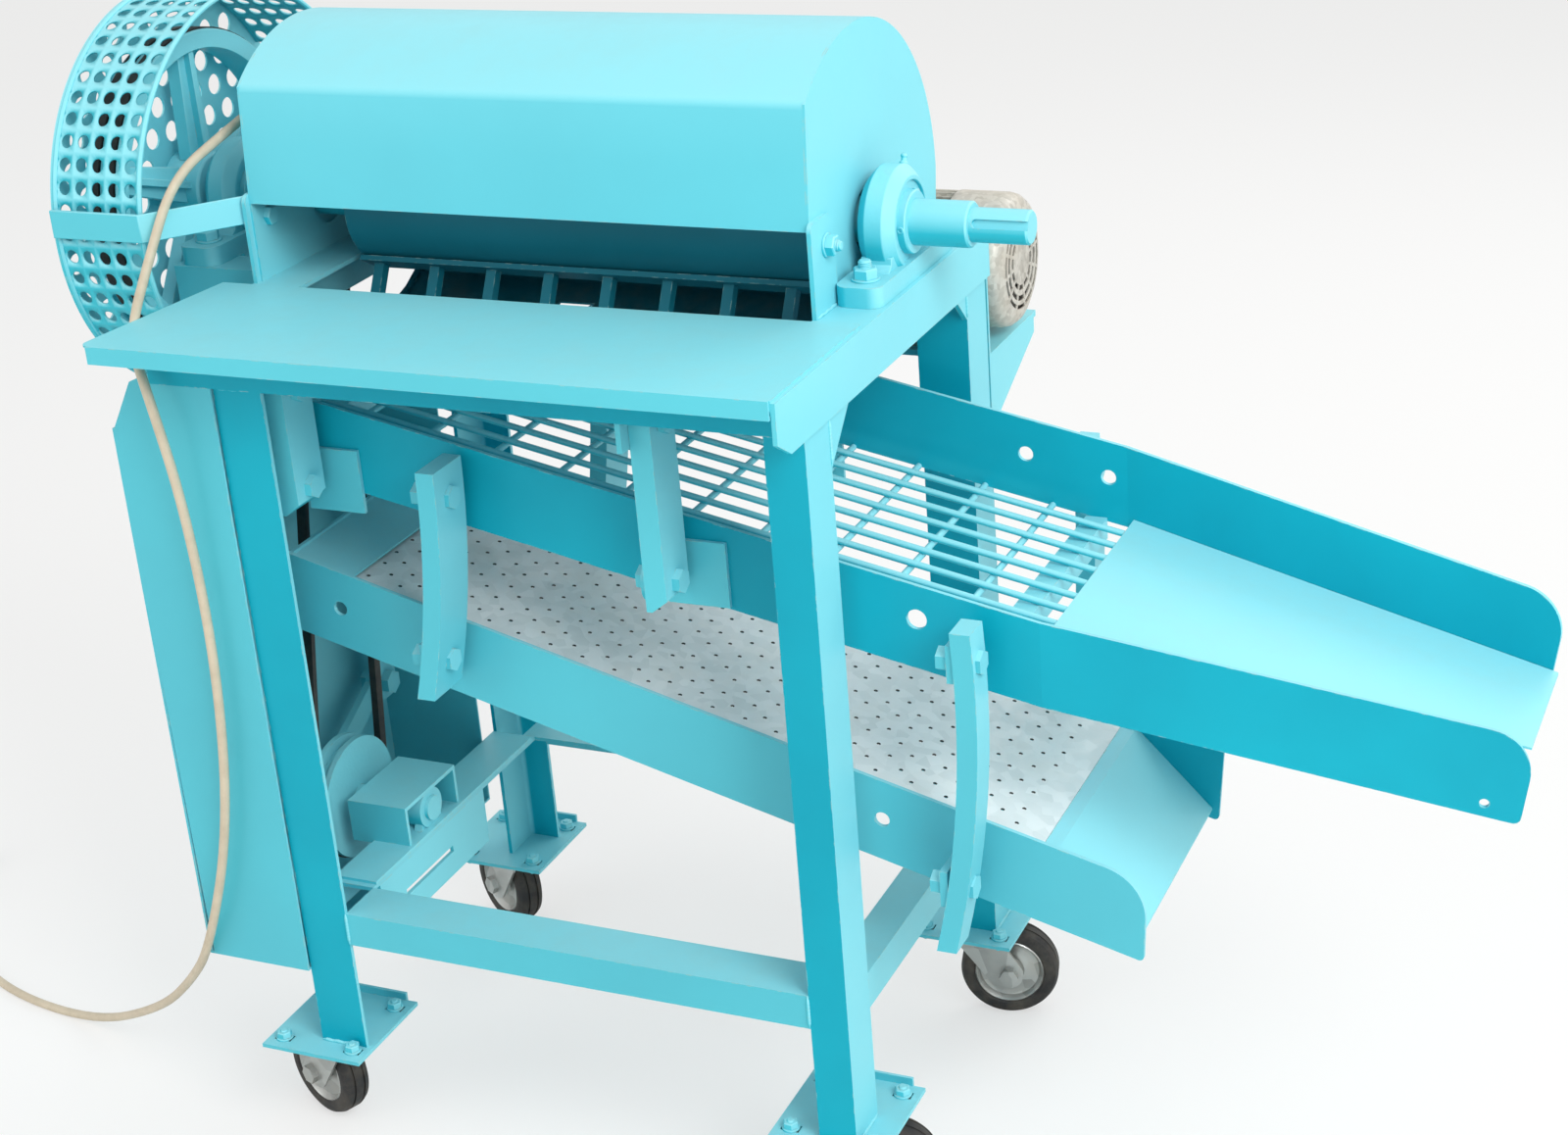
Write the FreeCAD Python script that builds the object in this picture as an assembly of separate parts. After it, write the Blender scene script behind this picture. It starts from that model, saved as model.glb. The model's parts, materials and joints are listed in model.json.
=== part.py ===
import FreeCAD, Part
import math
import os
from FreeCAD import Vector

# Peanut picker: a spiked drum under a hood on an angle-steel frame with four
# casters, two shaken trays hung below it, and belt drives on the left side.
# Millimetres. X runs along the drum to the right, Y to the back, Z up.
# The origin is on the ground under the middle of the machine.

# Datum faces
RIGHT = 112.05            # outer face of the right legs
FRONT = -255.5            # outer face of the front legs
FOOT = 112.0              # underside of the legs, on top of the casters

# Frame of angle steel
FRAME_LENGTH = 566.0
FRAME_DEPTH = 432.0
FRAME_HEIGHT = 724.0
STEEL = 50.0              # wide flange
NARROW = 36.0             # narrow flange
STEEL_T = 4.0
ROOT_R = 5.0              # fillet in the corner of the section
TABLE_REACH = 54.0        # side rails stand out in front of the legs
LEFT_REACH = 38.0         # left side rail stands out past the left legs
APRON_REACH = 64.0        # front and rear rails run on further
LOW_RAIL = 150.0          # top of the low rails above the foot
LOW_FLANGE = 34.0
GUSSET = 45.0
REAR_GUSSET = 26.0
GUSSET_T = 5.0

# Feed table
SHEET_T = 2.0
TABLE_DEPTH = 184.0
TABLE_LIP = 14.0
TABLE_LEFT_FRONT = FRAME_LENGTH + 89.0    # left end at the front, from the right face
TABLE_LEFT_REAR = FRAME_LENGTH + 66.0
TABLE_RIGHT_GAP = 4.0

# Drum shaft and its bearings
SHAFT_SETBACK = 266.0
BEARING_RISE = 49.2
SHAFT_R = 20.0
STUB_R = 15.0             # keyed drive end
STUB_LENGTH = 52.0
STUB_END = 100.0          # drive end past the right face
KEY_WIDTH = 8.0
KEY_DEPTH = 4.0
KEY_TURN = 20.0           # keyway above the level of the axis, in degrees
HOUSING_R = 49.0
HOUSING_W = 34.0
BASE_LENGTH = 184.0
BASE_WIDTH = 42.0
SKIRT_HALF = 52.0
BASE_T = 18.0
BOLT_SPREAD = 137.0
BEARING_BOLT_R = 6.0
BOLT_HOLE_R = 6.6
RING_R = 27.5
RACE_R = 35.7
RING_IN = 19.0            # inner ring from the bearing centre, inwards
RING_OUT = 21.0
RIGHT_BEARING = 25.0      # bearing centre left of the right face
LEFT_BEARING = FRAME_LENGTH + 126.0
ARM_W = 40.0              # angle arms under the left bearing

# Hood over the drum
HOOD_RIGHT = 52.0         # right end left of the right face
HOOD_LEFT = FRAME_LENGTH + 32.0
END_SKIRT = 16.0          # right end plate reaches below the rail's top
HOOD_R = 171.0
HOOD_MOUTH = 24.0         # front edge above the shaft
HOOD_LEAN = 9.0           # front panel leans back by this
CREASE_BACK = 113.0       # crease in front of the shaft
POST_WIDTH = 48.0
POST_HEIGHT = 82.0
POST_BOLT_R = 5.0

# Picking drum and concave
CORE_R = 60.0             # closed tube that carries the toothed bars
CORE_T = 4.0
DRUM_BARS = 4
DRUM_BAR = (30.0, 5.0)
BAR_TURN = 60.0           # turn of the first bar from the back, at rest
TEETH_TIP_R = 104.0
TOOTH = 10.0
TEETH_IN_ROW = 8
DRUM_GAP = 12.0           # beside the left rail and the hood's right end plate
CONCAVE_R = 112.0
CONCAVE_BAR = 8.0
CONCAVE_BARS = 5
CONCAVE_SPAN = (222.0, 258.0)   # of the bars, in degrees from the back over the top
CONCAVE_END = 346.0       # rear edge of the concave's sheet
SHEET_FOLDS = 6
LEAD_IN = 127.0           # start of the lead-in sheet at the table's edge, before the shaft
CONCAVE_RIB = 6.0
RIB_BEHIND = 4.0          # ribs stand out behind the bars
RIB_PAST = 4.0            # ribs run on past the first bar, in degrees
SHEET_BEHIND = 2.0        # sheet lies behind the bars' inner face
SHEET_CLEAR = 3.0         # sheets end beside a bar by this, in degrees
LEAD_BEHIND = 6.0         # lead-in sheet ends behind the bars' inner face
WINDOW = (36.0, 24.0)      # along the shaft and in degrees of the sheet
WINDOW_MID = 365.0
WINDOW_ANGLE = 278.0

# Big pulley, its guard and belts
GUARD_R = 188.0
GUARD_OUTER = FRAME_LENGTH + 200.0       # left face of the guard from the right face
GUARD_WIDTH = 96.0
PULLEY_R = 150.0
PULLEY_W = 34.0
PULLEY_RIM = 18.0
PULLEY_X = FRAME_LENGTH + 177.0      # pulley mid plane from the right face
HUB_R = 34.0
HUB_LIP = 4.0
ARMS = 5
STRAP_H = 26.0
STRAP_RISE = 18.0         # strap above the shaft
SMALL_PULLEY_R = 42.0
SHAKER_PULLEY_X = FRAME_LENGTH + 50.0
SHAKER_PULLEY_R = 42.0
CRANK_PULLEY_R = 62.0
SMALL_PULLEY_W = 24.0
BELT_W = 10.0
BELT_T = 8.0
BELT_SINK = 6.5           # belt's inner face below the rim
GROOVE_GAP = 0.5          # groove wider than the belt at its floor
GROOVE_FLARE = 1.2

# Crank shaft at the lower left
CRANK_Y = 178.0           # behind the front face
CRANK_Z = 171.0           # above the foot
CRANK_SHAFT_R = 12.5
CRANK_THROW = 5.5
CRANK_PIN_R = 8.0
ARM_Y = 305.0             # pitman end on the shaken trays
ARM_Z = 235.0
ARM_HALF = 18.0
PITMAN_T = 8.0
PITMAN_W = 30.0
PITMAN_TAPER = 0.7        # width at the trays' end as a share of PITMAN_W
PITMAN_HEX = 22.0         # across the flats of the bolt at the trays

# Tall belt guard
BELT_GUARD_LEFT = FRAME_LENGTH + 114.0
BELT_GUARD_RIGHT = FRAME_LENGTH
BELT_GUARD_BOTTOM = 80.0
BELT_GUARD_TOP = 688.0
BELT_GUARD_DEPTH = 354.0
BRACE_T = 3.0
BRACE_H = 22.0
BRACE_Z = 225.0
BRACE_R = 18.0

# Hangers
HUNG_DROP = 724.0
HANGER_X = 20.0
HANGER_Y = 44.0
HANGER_SETBACK = 44.0     # front pivots behind the front face
HANGER_REAR = 64.0        # rear pivots before the rear face
HANGER_TOP = 662.0
HANGER_LEFT_X = 58.0 - FRAME_LENGTH  # right face of the left hangers
HANGER_RIGHT_X = -150.0
HANGER_LEFT_LOW = 571.0
HANGER_RIGHT_LOW = 518.0
PIN_R = 6.0
PIN_FIT = 0.05
LOOSE_FIT = 0.5
LUG_T = 5.0
LUG_GAP = 0.3
LUG_HALF = 18.0           # half height of the trays' lugs
PIVOT_HEX = 19.0          # across the flats of the pivot bolts
PIVOT_HEAD = 7.0
PIVOT_NUT = 9.0
LUG_NUT = 8.0

# Upper tray
TRAY_SETBACK = 78.0       # outer face of the front boards behind the front face
TRAY_REAR = 98.0          # outer face of the rear boards before the rear face
BOARD = 75.0
BOARD_T = 4.0
UPPER_SLOPE = 11.66
UPPER_LEFT = 36.0 - FRAME_LENGTH
UPPER_RIGHT = 159.0
UPPER_TOP = 641.0         # front board top at its left end
FLOOR_DROP = 10.0
REAR_RISE = 57.0
REAR_TOP_LIMIT = 640.0
CHUTE_END = 549.0
CHUTE_TAPER = 8.0
CHUTE_ROUND = 38.0
CHUTE_HOLE_R = 4.0
UPPER_HOLE = (52.0, 9.0, 31.0)      # right of the legs' face, radius, below the board's top
ROD_R = 3.0
LONG_RODS = 8
CROSS_PITCH = 64.0
END_BAR = 20.0
END_BAR_H = 20.0

# Lower tray
LOWER_SLOPE = 14.8
LOWER_LEFT = -6.0 - FRAME_LENGTH
LOWER_RIGHT = 245.0
LOWER_TOP = 485.2
LOWER_FLOOR_DROP = 12.0
END_HOOD = 62.0           # sheet over the left end
LOWER_SHEET_RIGHT = 150.0
LOWER_CHUTE_DROP = 78.0
LOWER_HOLES = (45.0 - FRAME_LENGTH, 9.0)    # along the front board, from the right legs' face
LOWER_HOLE_R = 7.0
LOWER_HOLE_DROP = 38.0

# Links that carry the lower tray: x at the top, the middle and the foot,
# with the heights of the two pivots and how far the bar runs past them
LINK_X = 18.0
LEFT_DEPTH = 48.0         # left links from front to back
RIGHT_DEPTH = 30.0
LEFT_LINK = (194.0 - FRAME_LENGTH, 186.0 - FRAME_LENGTH, 164.0 - FRAME_LENGTH)
RIGHT_LINK = (108.0, 107.0, 82.0)
LINK_LOW_LEFT = 415.0
LINK_LOW_RIGHT = 262.0
LINK_TAIL_LEFT = 32.0
LINK_TAIL_RIGHT = 60.0
LINK_HEAD = 30.0

# Motor and line shaft behind the hood
MOTOR_BACK = 69.0         # motor axis behind the rear face
MOTOR_Z = 667.0
MOTOR_R = 64.0
MOTOR_RIGHT = 7.0
MOTOR_LENGTH = 250.0
MOTOR_FIN = 5.0
MOTOR_FINS = 20
MOTOR_FEET = 71.0         # shaft height of the motor
LINE_SHAFT_R = 12.0
LINE_BRACKETS = (330.0, FRAME_LENGTH + 54.0)
MOTOR_STRAP = (36.0, 3.5)

# Casters
WHEEL_R = 50.0
WHEEL_W = 30.0
WHEEL_BEVEL = 5.0
HUB_END_R = 13.0
AXLE_R = 5.0
SWIVEL_R = 7.0
TRAIL = 33.0
FORK_T = 3.0
HEAD_T = 2.5
CROWN_R = 29.0
CROWN_T = 3.0
SWIVEL_GAP = 0.3
CAP_R = 10.0
FOOT_PLATE = 110.0
FOOT_PLATE_T = 4.0
PLATE_EDGE = 16.0         # bolts in from the plate's edge
PLATE_BOLT_R = 4.0
SQUARE_FIT = 0.4          # square necks smaller than their holes
SLOT_HALF = 4.0

# Power cord
CORD_R = 4.5
COIL_LEFT = 732.0
COIL_BACK = 218.0
COIL_MEAN_R = 50.0
COIL_BAND = 14.0          # half width of the coiled turns
COIL_HEIGHT = 18.0
PLUG_R = 17.0
PLUG_LENGTH = 46.0
PLUG_PIN_R = 2.4
PLUG_PIN_LENGTH = 19.0

# Derived datums
LEFT = RIGHT - FRAME_LENGTH
REAR = FRONT + FRAME_DEPTH
TOP = FOOT + FRAME_HEIGHT
RAIL_LEFT = LEFT - LEFT_REACH
SHAFT_Y = FRONT + SHAFT_SETBACK
SHAFT_Z = TOP + BEARING_RISE
HUNG = TOP - HUNG_DROP    # heights of what hangs from the top rails are measured from here
BOARD_Y = (FRONT + TRAY_SETBACK, REAR - TRAY_REAR)
PIVOT_Y = (FRONT + HANGER_SETBACK, REAR - HANGER_REAR)


# Basic solids

def box(x0, x1, y0, y1, z0, z1):
    """Block between two corners."""
    return Part.makeBox(x1 - x0, y1 - y0, z1 - z0, Vector(x0, y0, z0))


def rod_x(x0, x1, y, z, r):
    """Round bar along X."""
    return Part.makeCylinder(r, x1 - x0, Vector(x0, y, z), Vector(1, 0, 0))


def rod(start, end, r):
    """Round bar between two points."""
    return Part.makeCylinder(r, (end - start).Length, start, end - start)


def ring_x(x0, x1, y, z, outer, inner):
    """Ring about an axis along X."""
    return rod_x(x0, x1, y, z, outer).cut(rod_x(x0 - 1, x1 + 1, y, z, inner))


def outline(corners, radii, place):
    """Closed wire through flat corners, each rounded by its own radius."""
    count = len(corners)
    pieces = []
    starts = []
    ends = []
    for i in range(count):
        here = Vector(*corners[i], 0)
        back = Vector(*corners[i - 1], 0) - here
        ahead = Vector(*corners[(i + 1) % count], 0) - here
        half = back.getAngle(ahead) / 2
        reach = radii[i] / math.tan(half)
        back.normalize()
        ahead.normalize()
        start = here + back * reach
        end = here + ahead * reach
        middle = here
        if radii[i] > 0:
            inward = back + ahead
            inward.normalize()
            middle = here + inward * (radii[i] / math.sin(half) - radii[i])
        starts.append(place(start))
        ends.append(place(end))
        if radii[i] > 0:
            pieces.append(Part.Arc(place(start), place(middle), place(end)).toShape())
    for i in range(count):
        a = ends[i]
        b = starts[(i + 1) % count]
        if (b - a).Length > 1e-6:
            pieces.append(Part.LineSegment(a, b).toShape())
    return Part.Wire(Part.__sortEdges__(pieces))


def plate_x(corners, x0, x1, radii=None):
    """Plate whose outline lies in YZ, from x0 to x1."""
    radii = radii or [0] * len(corners)
    wire = outline(corners, radii, lambda p: Vector(x0, p.x, p.y))
    return Part.Face(wire).extrude(Vector(x1 - x0, 0, 0))


def plate_y(corners, y0, y1, radii=None):
    """Plate whose outline lies in XZ, from y0 to y1."""
    radii = radii or [0] * len(corners)
    wire = outline(corners, radii, lambda p: Vector(p.x, y0, p.y))
    return Part.Face(wire).extrude(Vector(0, y1 - y0, 0))


def plate_z(corners, z0, z1, radii=None):
    """Plate whose outline lies in XY, from z0 to z1."""
    radii = radii or [0] * len(corners)
    wire = outline(corners, radii, lambda p: Vector(p.x, p.y, z0))
    return Part.Face(wire).extrude(Vector(0, 0, z1 - z0))


def angle_bar(corner, side_a, side_b, run, width_a=STEEL, width_b=STEEL, t=STEEL_T):
    """Angle section: outer corner, the two flange directions and the run."""
    a = Vector(*side_a)
    b = Vector(*side_b)
    start = Vector(*corner)
    corners = [(0, 0), (width_a, 0), (width_a, t), (t, t), (t, width_b), (0, width_b)]
    radii = [0, 0, 0, ROOT_R, 0, 0]
    wire = outline(corners, radii, lambda p: start + a * p.x + b * p.y)
    return Part.Face(wire).extrude(Vector(*run))


def mirror_y(shape, middle=(FRONT + REAR) / 2):
    """Copy on the other side of a plane across Y, the frame's middle if not told."""
    return shape.mirror(Vector(0, middle, 0), Vector(0, 1, 0))


def drilled_z(shape, spots, r, z0, z1):
    """Round upright holes through a shape."""
    for x, y in spots:
        shape = shape.cut(Part.makeCylinder(r, z1 - z0, Vector(x, y, z0)))
    return shape


def fused(first, *rest):
    """One solid from several pieces."""
    shape = first
    for piece in rest:
        shape = shape.fuse(piece)
    return shape.removeSplitter()


def hexagon(centre, axis, across, height):
    """Hexagonal prism, as a bolt head or a nut."""
    radius = across / math.sqrt(3)
    turn = FreeCAD.Rotation(Vector(0, 0, 1), axis)
    points = []
    for k in range(7):
        angle = math.radians(60 * k)
        points.append(centre + turn.multVec(Vector(math.cos(angle), math.sin(angle), 0) * radius))
    along = Vector(axis)
    along.normalize()
    return Part.Face(Part.makePolygon(points)).extrude(along * height)


def bolt(head, axis, grip, r, tail=8.0):
    """Bolt with its washer, nut and thread end; head lies on the first face."""
    along = Vector(*axis)
    across = r * 3.2
    top = hexagon(head, along * -1, across, r * 1.2)
    shank = rod(head - along * 0.1, head + along * (grip + r * 1.6 + tail), r)
    nut = hexagon(head + along * grip, along, across, r * 1.5 + 2)
    return fused(top, shank, nut)


def carriage_bolt(x, y, z0, z1):
    """Square-necked bolt with a cap nut, upright through plates from z0 to z1."""
    half = PLATE_BOLT_R - SQUARE_FIT
    neck = box(x - half, x + half, y - half, y + half, z0 - 1, z1 + 1)
    head = hexagon(Vector(x, y, z0), Vector(0, 0, -1), PLATE_BOLT_R * 3.2, PLATE_BOLT_R)
    nut = hexagon(Vector(x, y, z1), Vector(0, 0, 1), PLATE_BOLT_R * 3.2, PLATE_BOLT_R * 1.7)
    return fused(neck, head, nut)


def square_holes(shape, spots, half, z0, z1):
    """Square upright holes through a shape."""
    for x, y in spots:
        shape = shape.cut(box(x - half, x + half, y - half, y + half, z0, z1))
    return shape


# Slopes of the trays

def upper_top(x):
    """Height of the upper tray's front board top."""
    return HUNG + UPPER_TOP - (x - RIGHT - UPPER_LEFT) * math.tan(math.radians(UPPER_SLOPE))


def lower_top(x):
    """Height of the lower tray's front board top."""
    return HUNG + LOWER_TOP - (x - RIGHT - LOWER_LEFT) * math.tan(math.radians(LOWER_SLOPE))


def board_depth(slope):
    """Upright height of a flat bar laid along a slope."""
    return BOARD / math.cos(math.radians(slope))


# Frame

def leg_length():
    """Legs end under the fillet of the rails' section."""
    return FRAME_HEIGHT - STEEL_T - ROOT_R


def leg_front_right():
    """Front right leg, narrow flange to the front."""
    corner = (RIGHT - STEEL_T, FRONT + STEEL_T, FOOT)
    return angle_bar(corner, (-1, 0, 0), (0, 1, 0), (0, 0, leg_length()), NARROW, STEEL)


def leg_front_left():
    """Front left leg."""
    z = leg_length()
    return angle_bar((LEFT, FRONT + STEEL_T, FOOT), (1, 0, 0), (0, 1, 0), (0, 0, z))


def leg_rear_right():
    """Rear right leg."""
    z = leg_length()
    corner = (RIGHT - STEEL_T, REAR - STEEL_T - STEEL, FOOT)
    return angle_bar(corner, (-1, 0, 0), (0, 1, 0), (0, 0, z))


def leg_rear_left():
    """Rear left leg, narrow flange to the rear."""
    z = leg_length()
    return angle_bar((LEFT, REAR - STEEL_T, FOOT), (1, 0, 0), (0, -1, 0), (0, 0, z), NARROW, STEEL)


def bearing_bolt_spots(x):
    """Both bolts of a bearing."""
    return [(x, SHAFT_Y - BOLT_SPREAD / 2), (x, SHAFT_Y + BOLT_SPREAD / 2)]


def top_rails_side():
    """Side rails; the right one carries the drive-end bearing and two gussets."""
    reach = FRONT - TABLE_REACH
    right = angle_bar((RIGHT, reach, TOP), (-1, 0, 0), (0, 0, -1), (0, REAR - reach, 0))
    corner = [(reach - 1, TOP - STEEL - 1), (reach + 26, TOP - STEEL - 1), (reach - 1, TOP - STEEL + 16)]
    right = right.cut(plate_x(corner, RIGHT - STEEL_T - 1, RIGHT + 1))
    spots = bearing_bolt_spots(RIGHT - RIGHT_BEARING)
    right = drilled_z(right, spots, BOLT_HOLE_R, TOP - STEEL_T - 1, TOP + 1)
    run = (0, FRAME_DEPTH - 2 * STEEL_T, 0)
    left = angle_bar((RAIL_LEFT, FRONT + STEEL_T, TOP), (1, 0, 0), (0, 0, -1), run)
    return Part.makeCompound([right, left] + corner_gussets())


def top_rails_cross():
    """Front and rear rails, notched round the side rails."""
    x0 = LEFT - APRON_REACH
    bar = angle_bar((x0, FRONT, TOP), (0, 1, 0), (0, 0, -1), (RIGHT - STEEL_T - x0, 0, 0))
    for side in (RAIL_LEFT, RIGHT - STEEL):
        bar = bar.cut(box(side, side + STEEL, FRONT + STEEL_T, FRONT + STEEL + 1, TOP - STEEL - 1, TOP + 1))
    corner = box(RIGHT - STEEL, RIGHT, FRONT - 1, FRONT + STEEL_T + 1, TOP - STEEL_T - ROOT_R, TOP + 1)
    bar = bar.cut(corner)
    return Part.makeCompound([bar, mirror_y(bar)])


def low_rails_long():
    """Low front and rear rails between the legs."""
    z = FOOT + LOW_RAIL
    x0 = LEFT + STEEL
    x1 = RIGHT - STEEL_T - NARROW
    front = angle_bar((x0, FRONT + STEEL_T, z), (0, 1, 0), (0, 0, -1), (x1 - x0, 0, 0), STEEL, LOW_FLANGE)
    x0 = LEFT + NARROW
    x1 = RIGHT - STEEL_T - STEEL
    rear = angle_bar((x0, REAR - STEEL_T, z), (0, -1, 0), (0, 0, -1), (x1 - x0, 0, 0), STEEL, LOW_FLANGE)
    return Part.makeCompound([front, rear])


def low_rails_side():
    """Low side rails; the left one carries the crank bracket."""
    z = FOOT + LOW_RAIL
    y0 = FRONT + STEEL_T + STEEL
    run = (0, REAR - STEEL_T - STEEL - y0, 0)
    right = angle_bar((RIGHT - STEEL_T, y0, z), (-1, 0, 0), (0, 0, -1), run, NARROW, NARROW)
    left = angle_bar((LEFT, y0, z), (1, 0, 0), (0, 0, -1), run, STEEL, LOW_FLANGE)
    return Part.makeCompound([right, left])


def corner_gussets():
    """Triangular gussets under the right side rail, beside the legs."""
    x1 = RIGHT - STEEL_T
    top = TOP - STEEL
    front = FRONT + STEEL_T + STEEL
    rear = REAR - STEEL_T - STEEL
    return [plate_x([(y, top), (y + size, top), (y, top - abs(size))], x1 - GUSSET_T, x1)
            for y, size in ((front, GUSSET), (rear, -REAR_GUSSET))]


def foot_centres():
    """Plate centres: front right, front left, rear right, rear left."""
    return [(RIGHT - 32, FRONT + 50), (LEFT + 1, FRONT + 34), (RIGHT - 36, REAR - 25), (LEFT - 4, REAR - 25)]


def plate_bolts(centre):
    """Four bolt spots of a foot plate and its caster."""
    spread = FOOT_PLATE / 2 - PLATE_EDGE
    return [(centre[0] + sx * spread, centre[1] + sy * spread) for sx in (-1, 1) for sy in (-1, 1)]


def foot_plate(centre):
    """Bent plate under a leg, with slots for the caster's bolts."""
    x, y = centre
    h = FOOT_PLATE / 2
    plate = box(x - h, x + h, y - h, y + h, FOOT - FOOT_PLATE_T, FOOT)
    r = PLATE_BOLT_R + 1
    long = SLOT_HALF + r
    for cx, cy in plate_bolts(centre):
        plate = plate.cut(box(cx - long, cx + long, cy - r, cy + r, FOOT - FOOT_PLATE_T - 1, FOOT + 1))
    lip = box(x - h + 12, x + h - 12, y + h - 1, y + h + 2, FOOT - FOOT_PLATE_T, FOOT + 8)
    return fused(plate, lip)


def foot_plates():
    """One plate under each leg."""
    return Part.makeCompound([foot_plate(c) for c in foot_centres()])


# Feed table and hood

def feed_table():
    """Sheet table with a folded lip along the front and a slanted left end."""
    y0 = FRONT - TABLE_REACH
    y1 = y0 + TABLE_DEPTH
    x1 = RIGHT - TABLE_RIGHT_GAP
    left_front = RIGHT - TABLE_LEFT_FRONT
    left_rear = RIGHT - TABLE_LEFT_REAR
    top = plate_z([(left_front, y0), (x1, y0), (x1, y1), (left_rear, y1)], TOP, TOP + SHEET_T, [9, 0, 0, 0])
    profile = [(y0, TOP + SHEET_T), (y0 + SHEET_T, TOP + SHEET_T), (y0 + SHEET_T, TOP - TABLE_LIP + 4),
               (y0 + 7, TOP - TABLE_LIP), (y0, TOP - TABLE_LIP)]
    lip = plate_x(profile, left_front + 9, RIGHT - STEEL_T - 1)
    lip.translate(Vector(0, -SHEET_T, 0))
    link = box(left_front + 9, RIGHT - STEEL_T - 1, y0 - SHEET_T, y0 + 1, TOP, TOP + SHEET_T)
    return fused(top, link, lip)


def crease():
    """Point in YZ where the flat front panel meets the round hood."""
    drop = math.sqrt(HOOD_R ** 2 - CREASE_BACK ** 2)
    return SHAFT_Y - CREASE_BACK, SHAFT_Z + drop


def hood_section(radius, x):
    """Open curve of the hood: front panel, round top and short back panel."""
    cy, cz = crease()
    scale = radius / HOOD_R
    cy = SHAFT_Y + (cy - SHAFT_Y) * scale
    cz = SHAFT_Z + (cz - SHAFT_Z) * scale
    mouth = Vector(x, cy - HOOD_LEAN, SHAFT_Z + HOOD_MOUTH)
    fold = Vector(x, cy, cz)
    peak = Vector(x, SHAFT_Y, SHAFT_Z + radius)
    back = Vector(x, SHAFT_Y + radius, SHAFT_Z)
    return mouth, fold, peak, back


def hood_cover():
    """Folded and rolled hood sheet."""
    x0 = RIGHT - HOOD_LEFT
    x1 = RIGHT - HOOD_RIGHT
    mouth, fold, peak, back = hood_section(HOOD_R, x0)
    mouth_in, fold_in, peak_in, back_in = hood_section(HOOD_R - SHEET_T, x0)
    mouth_in.y = mouth.y + SHEET_T
    edges = [Part.LineSegment(mouth, fold), Part.Arc(fold, peak, back), Part.LineSegment(back, back_in),
             Part.Arc(back_in, peak_in, fold_in), Part.LineSegment(fold_in, mouth_in),
             Part.LineSegment(mouth_in, mouth)]
    wire = Part.Wire([e.toShape() for e in edges])
    return Part.Face(wire).extrude(Vector(x1 - x0, 0, 0))


def hood_end(x0, bottom):
    """End plate of the drum chamber, cut out round the shaft."""
    mouth, fold, peak, back = hood_section(HOOD_R, x0)
    heel = Vector(x0, REAR - 1, TOP)
    front = Vector(x0, mouth.y, TOP)
    edges = [Part.LineSegment(mouth, fold), Part.Arc(fold, peak, back), Part.LineSegment(back, heel),
             Part.LineSegment(heel, front), Part.LineSegment(front, mouth)]
    face = Part.Face(Part.Wire([e.toShape() for e in edges]))
    plate = face.extrude(Vector(SHEET_T, 0, 0))
    if bottom < TOP:
        leg = REAR - STEEL_T - STEEL - STEEL_T
        plate = plate.fuse(box(x0, x0 + SHEET_T, mouth.y, leg, bottom, TOP)).removeSplitter()
    y, z = post_bolt()
    plate = plate.cut(rod_x(x0 - 1, x0 + SHEET_T + 1, y, z, POST_BOLT_R + 0.4))
    return plate.cut(rod_x(x0 - 1, x0 + SHEET_T + 1, SHAFT_Y, SHAFT_Z, SHAFT_R + 8))


def hood_ends():
    """Both end plates of the hood."""
    right = hood_end(RIGHT - HOOD_RIGHT, TOP - END_SKIRT)
    return Part.makeCompound([right, hood_end(RIGHT - HOOD_LEFT - SHEET_T, TOP)])


def post_y():
    """Front edge of the hood posts."""
    return crease()[0] - HOOD_LEAN - 6


def post_bolt():
    """Bolt through a hood post, in YZ."""
    return post_y() + POST_WIDTH - 18, TOP + POST_HEIGHT - 26


def hood_posts():
    """Flat posts with a rounded ear, bolted to the hood's end plates."""
    posts = []
    y = post_y()
    top = TOP + POST_HEIGHT
    corners = [(y, TOP), (y + POST_WIDTH, TOP), (y + POST_WIDTH, top), (y, top)]
    for x0 in (RIGHT - HOOD_RIGHT + SHEET_T, RIGHT - HOOD_LEFT - SHEET_T - STEEL_T):
        web = plate_x(corners, x0, x0 + STEEL_T, [0, 0, 16, 8])
        posts.append(web.cut(rod_x(x0 - 1, x0 + STEEL_T + 1, *post_bolt(), POST_BOLT_R + 0.4)))
    return Part.makeCompound(posts)


def frame_bolts():
    """Bearing bolts, hood bolts and the bolts that hold the casters."""
    bolts = []
    for x in (RIGHT - RIGHT_BEARING, RIGHT - LEFT_BEARING):
        for spot in bearing_bolt_spots(x):
            bolts.append(bolt(Vector(*spot, TOP - STEEL_T), (0, 0, 1), BASE_T + STEEL_T, BEARING_BOLT_R))
    y, z = post_bolt()
    grip = SHEET_T + STEEL_T
    bolts.append(bolt(Vector(RIGHT - HOOD_RIGHT, y, z), (1, 0, 0), grip, POST_BOLT_R, 6))
    bolts.append(bolt(Vector(RIGHT - HOOD_LEFT, y, z), (-1, 0, 0), grip, POST_BOLT_R, 6))
    for centre in foot_centres():
        bolts += [carriage_bolt(*spot, FOOT - FOOT_PLATE_T - HEAD_T, FOOT) for spot in plate_bolts(centre)]
    return Part.makeCompound(bolts)


# Drum chamber

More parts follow.
